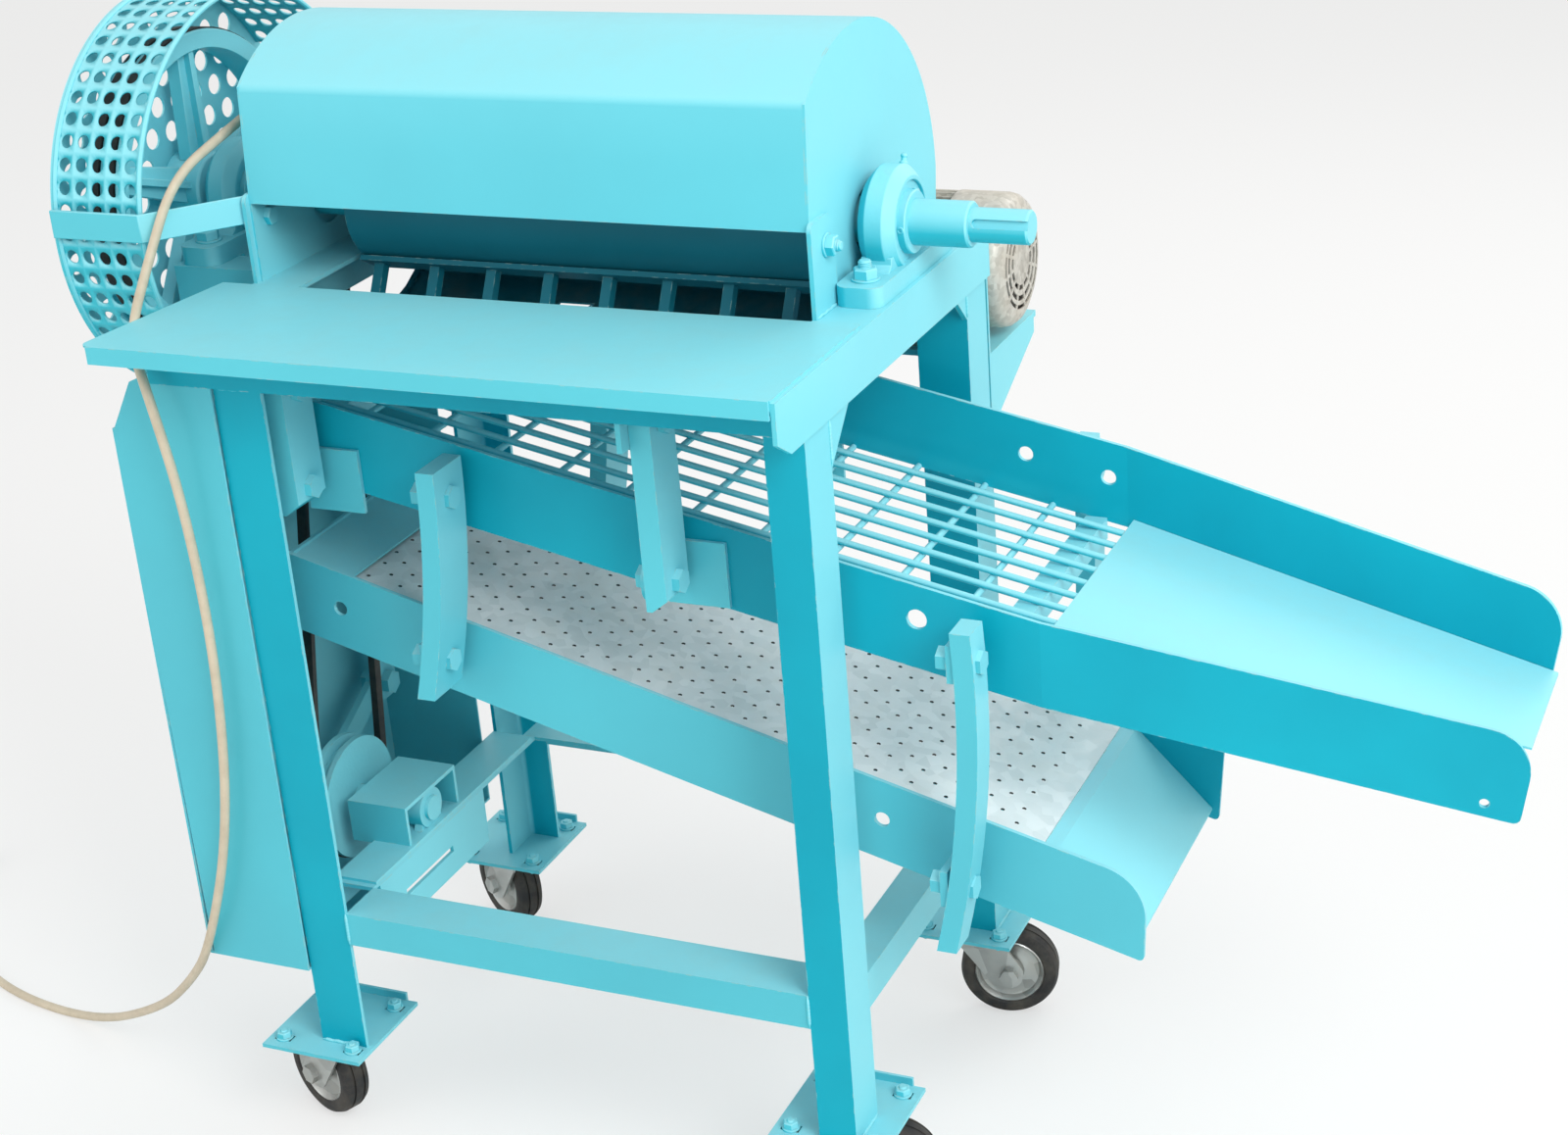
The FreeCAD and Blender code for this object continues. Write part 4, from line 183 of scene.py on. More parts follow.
@dataclass(frozen=True)
class Enamel(Finish):
    """Alkyd enamel brushed and sprayed on steel: semi-gloss, faintly uneven, chipped at the edges."""

    base: str = "#36C4D5"
    deep: str = "#2DBBCC"
    painted_highlight: str = "#A4ECF5"      # painted highlight: pale coat on the sides that face the light
    bare: str = "#9FC9C6"       # thin paint and scuffs along the edges
    dust: str = "#B9A98E"       # dry soil on surfaces that face up
    highlight_share: float = 0.75          # share of the painted highlight where the light strikes squarely
    lit_side: Point3 = (0.62, -0.36, 0.70)   # side that gets the painted highlight
    specular: float = 0.3       # under the usual 0.5, because a chalked coat mirrors little
    ior: float = 1.5
    roughness: float = 0.38
    patch_mm: float = 260.0     # uneven coat, seen as soft patches
    chip_mm: float = 11.0       # chips along the edges
    cloud_mm: float = 45.0      # patches of settled dust
    edge_mm: float = 1.6        # width of the worn edges
    peel_mm: float = 7.0        # orange peel; real one is 2 to 4 mm, drawn coarser so that it shows
    peel_depth_mm: float = 0.6
    dusting: float = 0.07       # share of dust where it lies thickest
    grain: float = 0.10         # strength of the orange peel

    def draw(self, tree: bpy.types.NodeTree, shader: bpy.types.Node, place: bpy.types.NodeSocket) -> None:
        """Wire tone patches, a painted highlight on the sides that face the light, edge scuffs, dust and
        orange peel.

        Args:
            tree: The material's tree.
            shader: Its principled shader.
            place: Object coordinates, in metres.
        """
        patches = add_node(tree, "ShaderNodeTexNoise",
                           {"Vector": place, "Scale": per_metre(self.patch_mm), "Detail": 4.0})
        tone = add_node(tree, "ShaderNodeMapRange", {0: patches.outputs["Fac"], 1: 0.35, 2: 0.65})
        coat = add_node(tree, "ShaderNodeMix",
                        {0: tone.outputs[0], 6: linear(self.deep), 7: linear(self.base)},
                        data_type="RGBA")
        true = add_node(tree, "ShaderNodeNewGeometry")
        # painted highlight: the coat turns pale on the sides that face the light
        facing = add_node(tree, "ShaderNodeVectorMath", {0: true.outputs["Normal"], 1: self.lit_side},
                          operation="DOT_PRODUCT")
        painted_light = add_node(tree, "ShaderNodeMapRange",
                          {0: facing.outputs["Value"], 1: 0.2, 2: 0.75, 3: 0.0, 4: self.highlight_share})
        highlighted = add_node(tree, "ShaderNodeMix",
                        {0: painted_light.outputs[0], 6: coat.outputs[2], 7: linear(self.painted_highlight)},
                        data_type="RGBA")
        rounded = add_node(tree, "ShaderNodeBevel", {"Radius": self.edge_mm * MM}, samples=4)
        along = add_node(tree, "ShaderNodeVectorMath", {0: rounded.outputs[0], 1: true.outputs["Normal"]},
                         operation="DOT_PRODUCT")
        speck = add_node(tree, "ShaderNodeTexNoise",
                         {"Vector": place, "Scale": per_metre(self.chip_mm), "Detail": 6.0})
        edge = add_node(tree, "ShaderNodeMapRange", {0: along.outputs["Value"], 1: 0.99, 2: 0.86})
        chips = add_node(tree, "ShaderNodeMapRange", {0: speck.outputs["Fac"], 1: 0.52, 2: 0.62})
        scuff = add_node(tree, "ShaderNodeMath", {0: edge.outputs[0], 1: chips.outputs[0]},
                         operation="MULTIPLY")
        worn = add_node(tree, "ShaderNodeMix",
                        {0: scuff.outputs[0], 6: highlighted.outputs[2], 7: linear(self.bare)},
                        data_type="RGBA")
        parts = add_node(tree, "ShaderNodeSeparateXYZ", {0: true.outputs["Normal"]})
        up = add_node(tree, "ShaderNodeMapRange",
                      {0: parts.outputs["Z"], 1: 0.55, 2: 1.0, 3: 0.0, 4: self.dusting})
        clouds = add_node(tree, "ShaderNodeTexNoise",
                          {"Vector": place, "Scale": per_metre(self.cloud_mm), "Detail": 8.0,
                            "Roughness": 0.7})
        spread = add_node(tree, "ShaderNodeMapRange", {0: clouds.outputs["Fac"], 1: 0.42, 2: 0.68})
        layer = add_node(tree, "ShaderNodeMath", {0: up.outputs[0], 1: spread.outputs[0]},
                         operation="MULTIPLY")
        dusty = add_node(tree, "ShaderNodeMix",
                         {0: layer.outputs[0], 6: worn.outputs[2], 7: linear(self.dust)},
                         data_type="RGBA")
        peel = add_node(tree, "ShaderNodeTexNoise",
                        {"Vector": place, "Scale": per_metre(self.peel_mm), "Detail": 3.0})
        gloss = add_node(tree, "ShaderNodeMapRange", {0: clouds.outputs["Fac"], 3: self.roughness - 0.07,
                                                      4: self.roughness + 0.16})
        bump = add_node(tree, "ShaderNodeBump", {"Strength": self.grain, "Distance": self.peel_depth_mm * MM,
                                                 "Height": peel.outputs["Fac"]})
        tree.links.new(dusty.outputs[2], shader.inputs["Base Color"])
        tree.links.new(gloss.outputs[0], shader.inputs["Roughness"])
        tree.links.new(bump.outputs[0], shader.inputs["Normal"])
        shader.inputs["IOR"].default_value = self.ior
        shader.inputs["Specular IOR Level"].default_value = self.specular


@dataclass(frozen=True)
class ZincSheet(Finish):
    """Hot dip galvanised sheet: cloudy grey with crystal spangle and settled dust."""

    light: str = "#FAFBFA"
    dark: str = "#E6E9E8"
    dust: str = "#D8CDBB"
    edge_shade: str = "#3E3D39"        # painted shade on the cut edges and in the holes; empty for none
    dusting: float = 0.5        # share of dust where it lies thickest
    spangle_mm: float = 12.0    # width of a zinc crystal
    cloud_mm: float = 60.0      # patches of settled dust
    metallic: float = 0.05      # low, because a film of zinc salts dulls the metal
    roughness: float = 0.45

    def draw(self, tree: bpy.types.NodeTree, shader: bpy.types.Node, place: bpy.types.NodeSocket) -> None:
        """Wire the crystals, clouds, dust and the painted shade on the edges.

        Args:
            tree: The material's tree.
            shader: Its principled shader.
            place: Object coordinates, in metres.
        """
        crystals = add_node(tree, "ShaderNodeTexVoronoi",
                            {"Vector": place, "Scale": per_metre(self.spangle_mm)})
        clouds = add_node(tree, "ShaderNodeTexNoise",
                          {"Vector": place, "Scale": per_metre(self.cloud_mm), "Detail": 7.0})
        shade = add_node(tree, "ShaderNodeSeparateColor", {0: crystals.outputs["Color"]})
        tone = add_node(tree, "ShaderNodeMath", {0: shade.outputs[0], 1: 0.5, 2: 0.0},
                        operation="MULTIPLY_ADD")
        both = add_node(tree, "ShaderNodeMath", {0: tone.outputs[0], 1: clouds.outputs["Fac"]},
                        operation="ADD")
        level = add_node(tree, "ShaderNodeMapRange", {0: both.outputs[0], 1: 0.35, 2: 1.0})
        zinc = add_node(tree, "ShaderNodeMix",
                        {0: level.outputs[0], 6: linear(self.dark), 7: linear(self.light)},
                        data_type="RGBA")
        dirt = add_node(tree, "ShaderNodeMapRange",
                        {0: clouds.outputs["Fac"], 1: 0.5, 2: 0.75, 3: 0.0, 4: self.dusting})
        dusty = add_node(tree, "ShaderNodeMix",
                         {0: dirt.outputs[0], 6: zinc.outputs[2], 7: linear(self.dust)},
                         data_type="RGBA")
        gloss = add_node(tree, "ShaderNodeMapRange", {0: shade.outputs[1], 3: self.roughness - 0.1,
                                                      4: self.roughness + 0.12})
        tree.links.new(self.shade_edges(tree, dusty.outputs[2]), shader.inputs["Base Color"])
        tree.links.new(gloss.outputs[0], shader.inputs["Roughness"])
        shader.inputs["Metallic"].default_value = self.metallic

    def shade_edges(self, tree: bpy.types.NodeTree, colour: bpy.types.NodeSocket) -> bpy.types.NodeSocket:
        """Paint shade on the faces that stand on edge.

        Args:
            tree: The material's tree.
            colour: Colour of the flat faces.

        Returns:
            Colour with the dark edges.
        """
        if not self.edge_shade:
            return colour
        true = add_node(tree, "ShaderNodeNewGeometry")
        parts = add_node(tree, "ShaderNodeSeparateXYZ", {0: true.outputs["True Normal"]})
        flat = add_node(tree, "ShaderNodeMath", {0: parts.outputs["Z"]}, operation="ABSOLUTE")
        edge = add_node(tree, "ShaderNodeMapRange", {0: flat.outputs[0], 1: 0.75, 2: 0.5})
        # painted shade on the cut edges and in the holes
        mixed = add_node(tree, "ShaderNodeMix", {0: edge.outputs[0], 6: colour, 7: linear(self.edge_shade)},
                         data_type="RGBA")
        return mixed.outputs[2]


@dataclass(frozen=True)
class Steel(Finish):
    """Turned or drawn steel: fine tool lines and a dull oil film."""

    base: str = "#A7A8A8"
    dark: str = "#6E6C69"
    line_mm: float = 0.6        # tool lines; real ones are 0.1 to 0.3 mm apart, drawn coarser to show
    film_mm: float = 18.0       # patches of the oil film
    line_depth_mm: float = 0.1
    relief: float = 0.08        # strength of the lines
    metallic: float = 1.0
    roughness: float = 0.36

    def draw(self, tree: bpy.types.NodeTree, shader: bpy.types.Node, place: bpy.types.NodeSocket) -> None:
        """Wire the tool lines and the film.

        Args:
            tree: The material's tree.
            shader: Its principled shader.
            place: Object coordinates, in metres.
        """
        stretched = add_node(tree, "ShaderNodeMapping",
                             {"Vector": place, "Scale": (per_metre(self.line_mm), 12, 12)})
        lines = add_node(tree, "ShaderNodeTexNoise",
                         {"Vector": stretched.outputs[0], "Scale": 1.0, "Detail": 2.0})
        film = add_node(tree, "ShaderNodeTexNoise",
                        {"Vector": place, "Scale": per_metre(self.film_mm), "Detail": 6.0})
        tone = add_node(tree, "ShaderNodeMapRange", {0: film.outputs["Fac"], 1: 0.4, 2: 0.7})
        colour = add_node(tree, "ShaderNodeMix",
                          {0: tone.outputs[0], 6: linear(self.base), 7: linear(self.dark)},
                          data_type="RGBA")
        gloss = add_node(tree, "ShaderNodeMapRange", {0: film.outputs["Fac"], 3: self.roughness - 0.1,
                                                      4: self.roughness + 0.2})
        bump = add_node(tree, "ShaderNodeBump", {"Strength": self.relief, "Distance": self.line_depth_mm * MM,
                                                 "Height": lines.outputs["Fac"]})
        tree.links.new(colour.outputs[2], shader.inputs["Base Color"])
        tree.links.new(gloss.outputs[0], shader.inputs["Roughness"])
        tree.links.new(bump.outputs[0], shader.inputs["Normal"])
        shader.inputs["Metallic"].default_value = self.metallic


@dataclass(frozen=True)
class Rubber(Finish):
    """Moulded rubber or plastic: matt, with dust caught in its fine grain."""

    base: str = "#1B1B1C"
    dust: str = "#6F675B"
    grain_mm: float = 1.8       # pores of the skin; real ones are under 0.5 mm, drawn coarser to show
    grain_depth_mm: float = 0.2
    relief: float = 0.15        # strength of the grain
    cloud_mm: float = 22.0      # patches of caught dust
    dusting: float = 0.45       # share of dust where it lies thickest
    ior: float = 1.52
    roughness: float = 0.72

    def draw(self, tree: bpy.types.NodeTree, shader: bpy.types.Node, place: bpy.types.NodeSocket) -> None:
        """Wire the grain and the dust.

        Args:
            tree: The material's tree.
            shader: Its principled shader.
            place: Object coordinates, in metres.
        """
        clouds = add_node(tree, "ShaderNodeTexNoise",
                          {"Vector": place, "Scale": per_metre(self.cloud_mm), "Detail": 8.0,
                            "Roughness": 0.65})
        grain = add_node(tree, "ShaderNodeTexNoise",
                         {"Vector": place, "Scale": per_metre(self.grain_mm), "Detail": 2.0})
        film = add_node(tree, "ShaderNodeMapRange", {0: clouds.outputs["Fac"], 1: 0.4, 2: 0.75, 3: 0.0,
                                                     4: self.dusting})
        colour = add_node(tree, "ShaderNodeMix",
                          {0: film.outputs[0], 6: linear(self.base), 7: linear(self.dust)},
                          data_type="RGBA")
        gloss = add_node(tree, "ShaderNodeMapRange", {0: film.outputs[0], 3: self.roughness - 0.12,
                                                      4: self.roughness + 0.1})
        bump = add_node(tree, "ShaderNodeBump",
                        {"Strength": self.relief, "Distance": self.grain_depth_mm * MM,
                                                 "Height": grain.outputs["Fac"]})
        tree.links.new(colour.outputs[2], shader.inputs["Base Color"])
        tree.links.new(gloss.outputs[0], shader.inputs["Roughness"])
        tree.links.new(bump.outputs[0], shader.inputs["Normal"])
        shader.inputs["IOR"].default_value = self.ior


# Sprayed enamel in the open: light turquoise with a painted highlight, pale on the sides that face the light.
PAINT = Enamel("alkyd_enamel_on_steel")
# The same enamel inside the hood, with painted shade: deep teal, duller and dusty.
PAINT_INSIDE_SHADE = Enamel("alkyd_enamel_inside_painted_shade", base="#177F92", deep="#107486", highlight_share=0.0, dusting=0.2,
                      roughness=0.5)
# Low on the frame, under the table: painted shade as a fuller, deeper turquoise.
PAINT_LOW_SHADE = Enamel("alkyd_enamel_low_painted_shade", base="#1FB8CA", deep="#17ADC0")
# Fronts that stand in the machine's own shade: painted shade as a strong blue, with a painted highlight on
# the pale right sides.
PAINT_SHADED = Enamel("alkyd_enamel_in_shade", base="#08ADC3", deep="#049FB6", painted_highlight="#98EAF4",
                      lit_side=(0.72, -0.05, 0.69), specular=0.2, dusting=0.16)
# Brushed on rough castings: the sand's grain shows through the coat.
PAINT_CAST = Enamel("alkyd_enamel_on_cast_iron", base="#38C4D4", deep="#2CB8C9", peel_mm=3.5, grain=0.35,
                    roughness=0.42, dusting=0.16)
# Hot dip galvanised sheet: nearly white with faint crystals and painted shade in the holes.
GALVANISED = ZincSheet("galvanised_sheet", dusting=0.25)
# Bright zinc plate on pressed steel: smooth grey metal, a little cloudy.
ZINC_PLATE = ZincSheet("bright_zinc_plate", light="#C9CBC8", dark="#8E908E", dust="#A59B89", edge_shade="",
                       spangle_mm=30.0, metallic=0.85, roughness=0.36)
# Die cast aluminium with a clear coat: warm pale grey, matt and fine-grained.
CASING = ZincSheet("cast_aluminium_casing", light="#D2CFC6", dark="#A8A49A", dust="#B4A892", edge_shade="",
                   spangle_mm=5.0, metallic=0.3, roughness=0.55)
# Carbon steel off the lathe: dull metal with fine lines across the axis.
TURNED = Steel("turned_steel")
# Moulded solid rubber: near black, matt, with dust in its grain.
TYRE = Rubber("tyre_rubber")
# Rubber on canvas: dark, with the weave's fine grain on its sides.
BELT = Rubber("belt_rubber_canvas", base="#202020", grain_mm=1.2, dusting=0.3)
# Extruded rubber sheath: sand-coloured, soft sheen, soiled in places.
SHEATH = Rubber("cord_rubber_sheath", base="#D3C5AD", dust="#9C8D74", grain_mm=2.5, dusting=0.35,
                roughness=0.62)
# Moulded polyamide: black with a satin skin.
MOULDED = Rubber("moulded_black_plastic", base="#222222", dust="#4A4640", grain_mm=1.0, dusting=0.2,
                 roughness=0.5)


# Shapes

SMOOTH = 32.0       # edges that bend less are shaded smooth, in degrees
SHARP = 35.0        # edges that bend more are rounded, in degrees
ROW_RISE = 0.866    # height of a row of staggered holes, as a share of their spacing


@dataclass
class Shape:
    """Vertices in millimetres and the faces between them."""

    points: list[Vector] = field(default_factory=list)
    faces: list[tuple[int, ...]] = field(default_factory=list)

    def add(self, points: Iterable[Vector], faces: Iterable[Sequence[int]]) -> None:
        """Append points and faces.

        Args:
            points: Vertices in millimetres.
            faces: Faces that number these vertices from 0.
        """
        first = len(self.points)
        self.points.extend(points)
        self.faces.extend(tuple(first + i for i in face) for face in faces)

    def lathe(self, profile: Sequence[Point2], centre: Vector, axis: Vector, steps: int = 64,
              closed: bool = True) -> None:
        """Turn a profile about an axis.

        Args:
            profile: Distance along the axis and radius of each corner.
            centre: Point on the axis that distances start from.
            axis: Direction of the axis.
            steps: Segments round the turn.
            closed: True for a ring; False for a profile that starts and ends on the axis.
        """
        along = axis.normalized()
        side = along.orthogonal().normalized()
        other = along.cross(side)
        points: list[Vector] = []
        rings: list[list[int]] = []
        for distance, radius in profile:
            middle = centre + along * distance
            if radius < 1e-6:
                rings.append([len(points)])
                points.append(middle)
                continue
            ring = []
            for k in range(steps):
                angle = 2 * math.pi * k / steps
                ring.append(len(points))
                points.append(middle + (side * math.cos(angle) + other * math.sin(angle)) * radius)
            rings.append(ring)
        faces: list[tuple[int, ...]] = []
        count = len(rings)
        for i in range(count if closed else count - 1):
            a, b = rings[i], rings[(i + 1) % count]
            for k in range(steps):
                n = (k + 1) % steps
                if len(a) == 1 and len(b) == 1:
                    break
                if len(a) == 1:
                    faces.append((a[0], b[n], b[k]))
                elif len(b) == 1:
                    faces.append((a[k], a[n], b[0]))
                else:
                    faces.append((a[k], a[n], b[n], b[k]))
        self.add(points, faces)

    def prism(self, outline: Sequence[Vector], run: Vector) -> None:
        """Extrude a flat outline.

        Args:
            outline: Corners in their order.
            run: Way from the first end to the second.
        """
        count = len(outline)
        points = list(outline) + [p + run for p in outline]
        faces: list[tuple[int, ...]] = [tuple(range(count)), tuple(range(2 * count - 1, count - 1, -1))]
        for i in range(count):
            n = (i + 1) % count
            faces.append((i, i + count, n + count, n))
        self.add(points, faces)

    def block(self, low: Sequence[float], high: Sequence[float]) -> None:
        """Add an upright block.

        Args:
            low: Corner with the lowest coordinates.
            high: Corner with the highest.
        """
        (x0, y0, z0), (x1, y1, z1) = low, high
        base = [Vector((x0, y0, z0)), Vector((x1, y0, z0)), Vector((x1, y1, z0)), Vector((x0, y1, z0))]
        self.prism(base, Vector((0, 0, z1 - z0)))

    def tube(self, path: Sequence[Vector], radii: Sequence[float], sides: int = 12) -> None:
        """Carry a round section along a path.

        Args:
            path: Points of the middle line.
            radii: Radius at each point.
            sides: Corners of the section.
        """
        points: list[Vector] = []
        direction = (path[1] - path[0]).normalized()
        side = direction.orthogonal().normalized()
        count = len(path)
        for i, here in enumerate(path):
            ahead = (path[min(i + 1, count - 1)] - path[max(i - 1, 0)]).normalized()
            side = (side - ahead * side.dot(ahead)).normalized()
            other = ahead.cross(side)
            for k in range(sides):
                angle = 2 * math.pi * k / sides
                points.append(here + (side * math.cos(angle) + other * math.sin(angle)) * radii[i])
        faces: list[tuple[int, ...]] = [tuple(range(sides - 1, -1, -1)),
                                        tuple(range((count - 1) * sides, count * sides))]
        self.add(points, faces + skin(count, sides))


def skin(loops: int, size: int, closed: bool = False) -> list[tuple[int, ...]]:
    """Faces between loops of points that follow each other.

    Args:
        loops: Number of loops.
        size: Points of each loop.
        closed: True where the last loop joins the first.

    Returns:
        Faces that number the points loop by loop.
    """
    faces = []
    for s in range(loops if closed else loops - 1):
        here, ahead = s * size, (s + 1) % loops * size
        for i in range(size):
            n = (i + 1) % size
            faces.append((here + i, here + n, ahead + n, ahead + i))
    return faces


def clean_mesh(mesh: bpy.types.Mesh, join: float, smooth: float) -> None:
    """Turn the faces of a mesh outwards and shade its flat bends smooth.

    Args:
        mesh: Mesh to work on.
        join: Distance in millimetres at which points are joined; 0 for none.
        smooth: Angle in degrees under which an edge is shaded smooth.
    """
    work = bmesh.new()
    work.from_mesh(mesh)
    if join > 0:
        bmesh.ops.remove_doubles(work, verts=work.verts, dist=join * MM)
    bmesh.ops.recalc_face_normals(work, faces=work.faces)
    work.to_mesh(mesh)
    work.free()
    mesh.shade_smooth()
    mesh.set_sharp_from_angle(angle=math.radians(smooth))


def curve_mesh(name: str, curve: bpy.types.Curve) -> bpy.types.Mesh:
    """Mesh that a curve evaluates to.

    Args:
        name: Name of the object that holds the curve meanwhile.
        curve: The curve.

    Returns:
        The new mesh.
    """
    holder = bpy.data.objects.new(name, curve)
    bpy.context.scene.collection.objects.link(holder)
    bpy.context.view_layer.update()
    mesh = bpy.data.meshes.new_from_object(holder.evaluated_get(bpy.context.evaluated_depsgraph_get()))
    bpy.data.objects.remove(holder)
    return mesh


def make_piece(name: str, shape: Shape, body: str, finish: Finish, replaces: Sequence[str] = (),
               soften: float = 0.0, smooth: float = SMOOTH, join: float = 0.0) -> bpy.types.Object:
    """Make one piece of the model and hang it on its body.

    Args:
        name: Name of the piece.
        shape: Its vertices in millimetres and faces.
        body: CAD body that it rides on.
        finish: Its finish.
        replaces: CAD nodes that it stands for.
        soften: Width of the rounded edges, in millimetres.
        smooth: Angle in degrees under which an edge is shaded smooth.
        join: Distance in millimetres at which points are joined; 0 for none.

    Returns:
        The new object.
    """
    mesh = bpy.data.meshes.new(name)
    mesh.from_pydata([p * MM for p in shape.points], [], shape.faces)
    clean_mesh(mesh, join, smooth)
    return settle_piece(bpy.data.objects.new(name, mesh), body, finish, replaces, soften)


def settle_piece(piece: bpy.types.Object, body: str, finish: Finish, replaces: Sequence[str] = (),
                 soften: float = 0.0) -> bpy.types.Object:
    """Link an object, give it its finish and hang it on its body.

    Args:
        piece: The new object.
        body: CAD body that it rides on.
        finish: Its finish.
        replaces: CAD nodes that it stands for.
        soften: Width of the rounded edges, in millimetres.

    Returns:
        The same object.
    """
    bpy.context.scene.collection.objects.link(piece)
    piece.data.materials.append(finish.material())
    if soften > 0:
        soften_edges(piece, soften)
    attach(piece, body)
    if replaces:
        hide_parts(*replaces)
    log.info("%s on %s", piece.name, body)
    return piece


def soften_edges(piece: bpy.types.Object, width: float, segments: int = 2) -> None:
    """Round the sharp edges of a piece.

    Args:
        piece: Object that gets the bevel.
        width: Width of the rounding, in millimetres.
        segments: Faces across the rounding.
    """
    bevel = piece.modifiers.new("soft edges", "BEVEL")
    bevel.width = width * MM
    bevel.segments = segments
    bevel.limit_method = "ANGLE"
    bevel.angle_limit = math.radians(SHARP)
    bevel.harden_normals = False


def pierced_plate(name: str, outline: Sequence[Point2], holes: Sequence[Point3], thickness: float,
                  place: Matrix, sides: int = 16) -> bpy.types.Object:
    """Flat plate with round holes, filled from its outlines.

    Args:
        name: Name of the piece.
        outline: Corners of the plate in its own plane, in millimetres.
        holes: Centre and radius of each hole in that plane.
        thickness: Thickness of the plate.
        place: Matrix from the plane, in metres, to the row frame.
        sides: Segments of a hole.

    Returns:
        Mesh object that isn't linked yet.
    """
    curve = bpy.data.curves.new(name + "_outline", "CURVE")
    curve.dimensions = "2D"
    curve.fill_mode = "BOTH"
    curve.extrude = thickness / 2 * MM
    loops = [list(outline)]
    turns = [2 * math.pi * k / sides for k in range(sides)]
    for x, y, radius in holes:
        loops.append([(x + radius * math.cos(angle), y + radius * math.sin(angle)) for angle in turns])
    for loop in loops:
        spline = curve.splines.new("POLY")
        spline.points.add(len(loop) - 1)
        for point, (x, y) in zip(spline.points, loop):
            point.co = (x * MM, y * MM, 0, 1)
        spline.use_cyclic_u = True
    mesh = curve_mesh(name + "_outline", curve)
    mesh.transform(place)
    mesh.name = name
    mesh.materials.clear()
    clean_mesh(mesh, 0.01, SMOOTH)
    return bpy.data.objects.new(name, mesh)


def arc_points(centre: Point2, radius: float, start: float, stop: float, steps: int) -> list[Point2]:
    """Points on an arc.

    Args:
        centre: Its centre.
        radius: Its radius.
        start: Angle of the first point, in degrees.
        stop: Angle of the last point.
        steps: Spaces between the points.

    Returns:
        The points, one more than the steps.
    """
    found = []
    for k in range(steps + 1):
        angle = math.radians(start + (stop - start) * k / steps)
        found.append((centre[0] + radius * math.cos(angle), centre[1] + radius * math.sin(angle)))
    return found


def plane_yz(x: float) -> Matrix:
    """Matrix from a plane to the upright plane across X at x millimetres: first axis Y, second Z."""
    return Matrix(((0, 0, 1, x * MM), (1, 0, 0, 0), (0, 1, 0, 0), (0, 0, 0, 1)))


# Studio


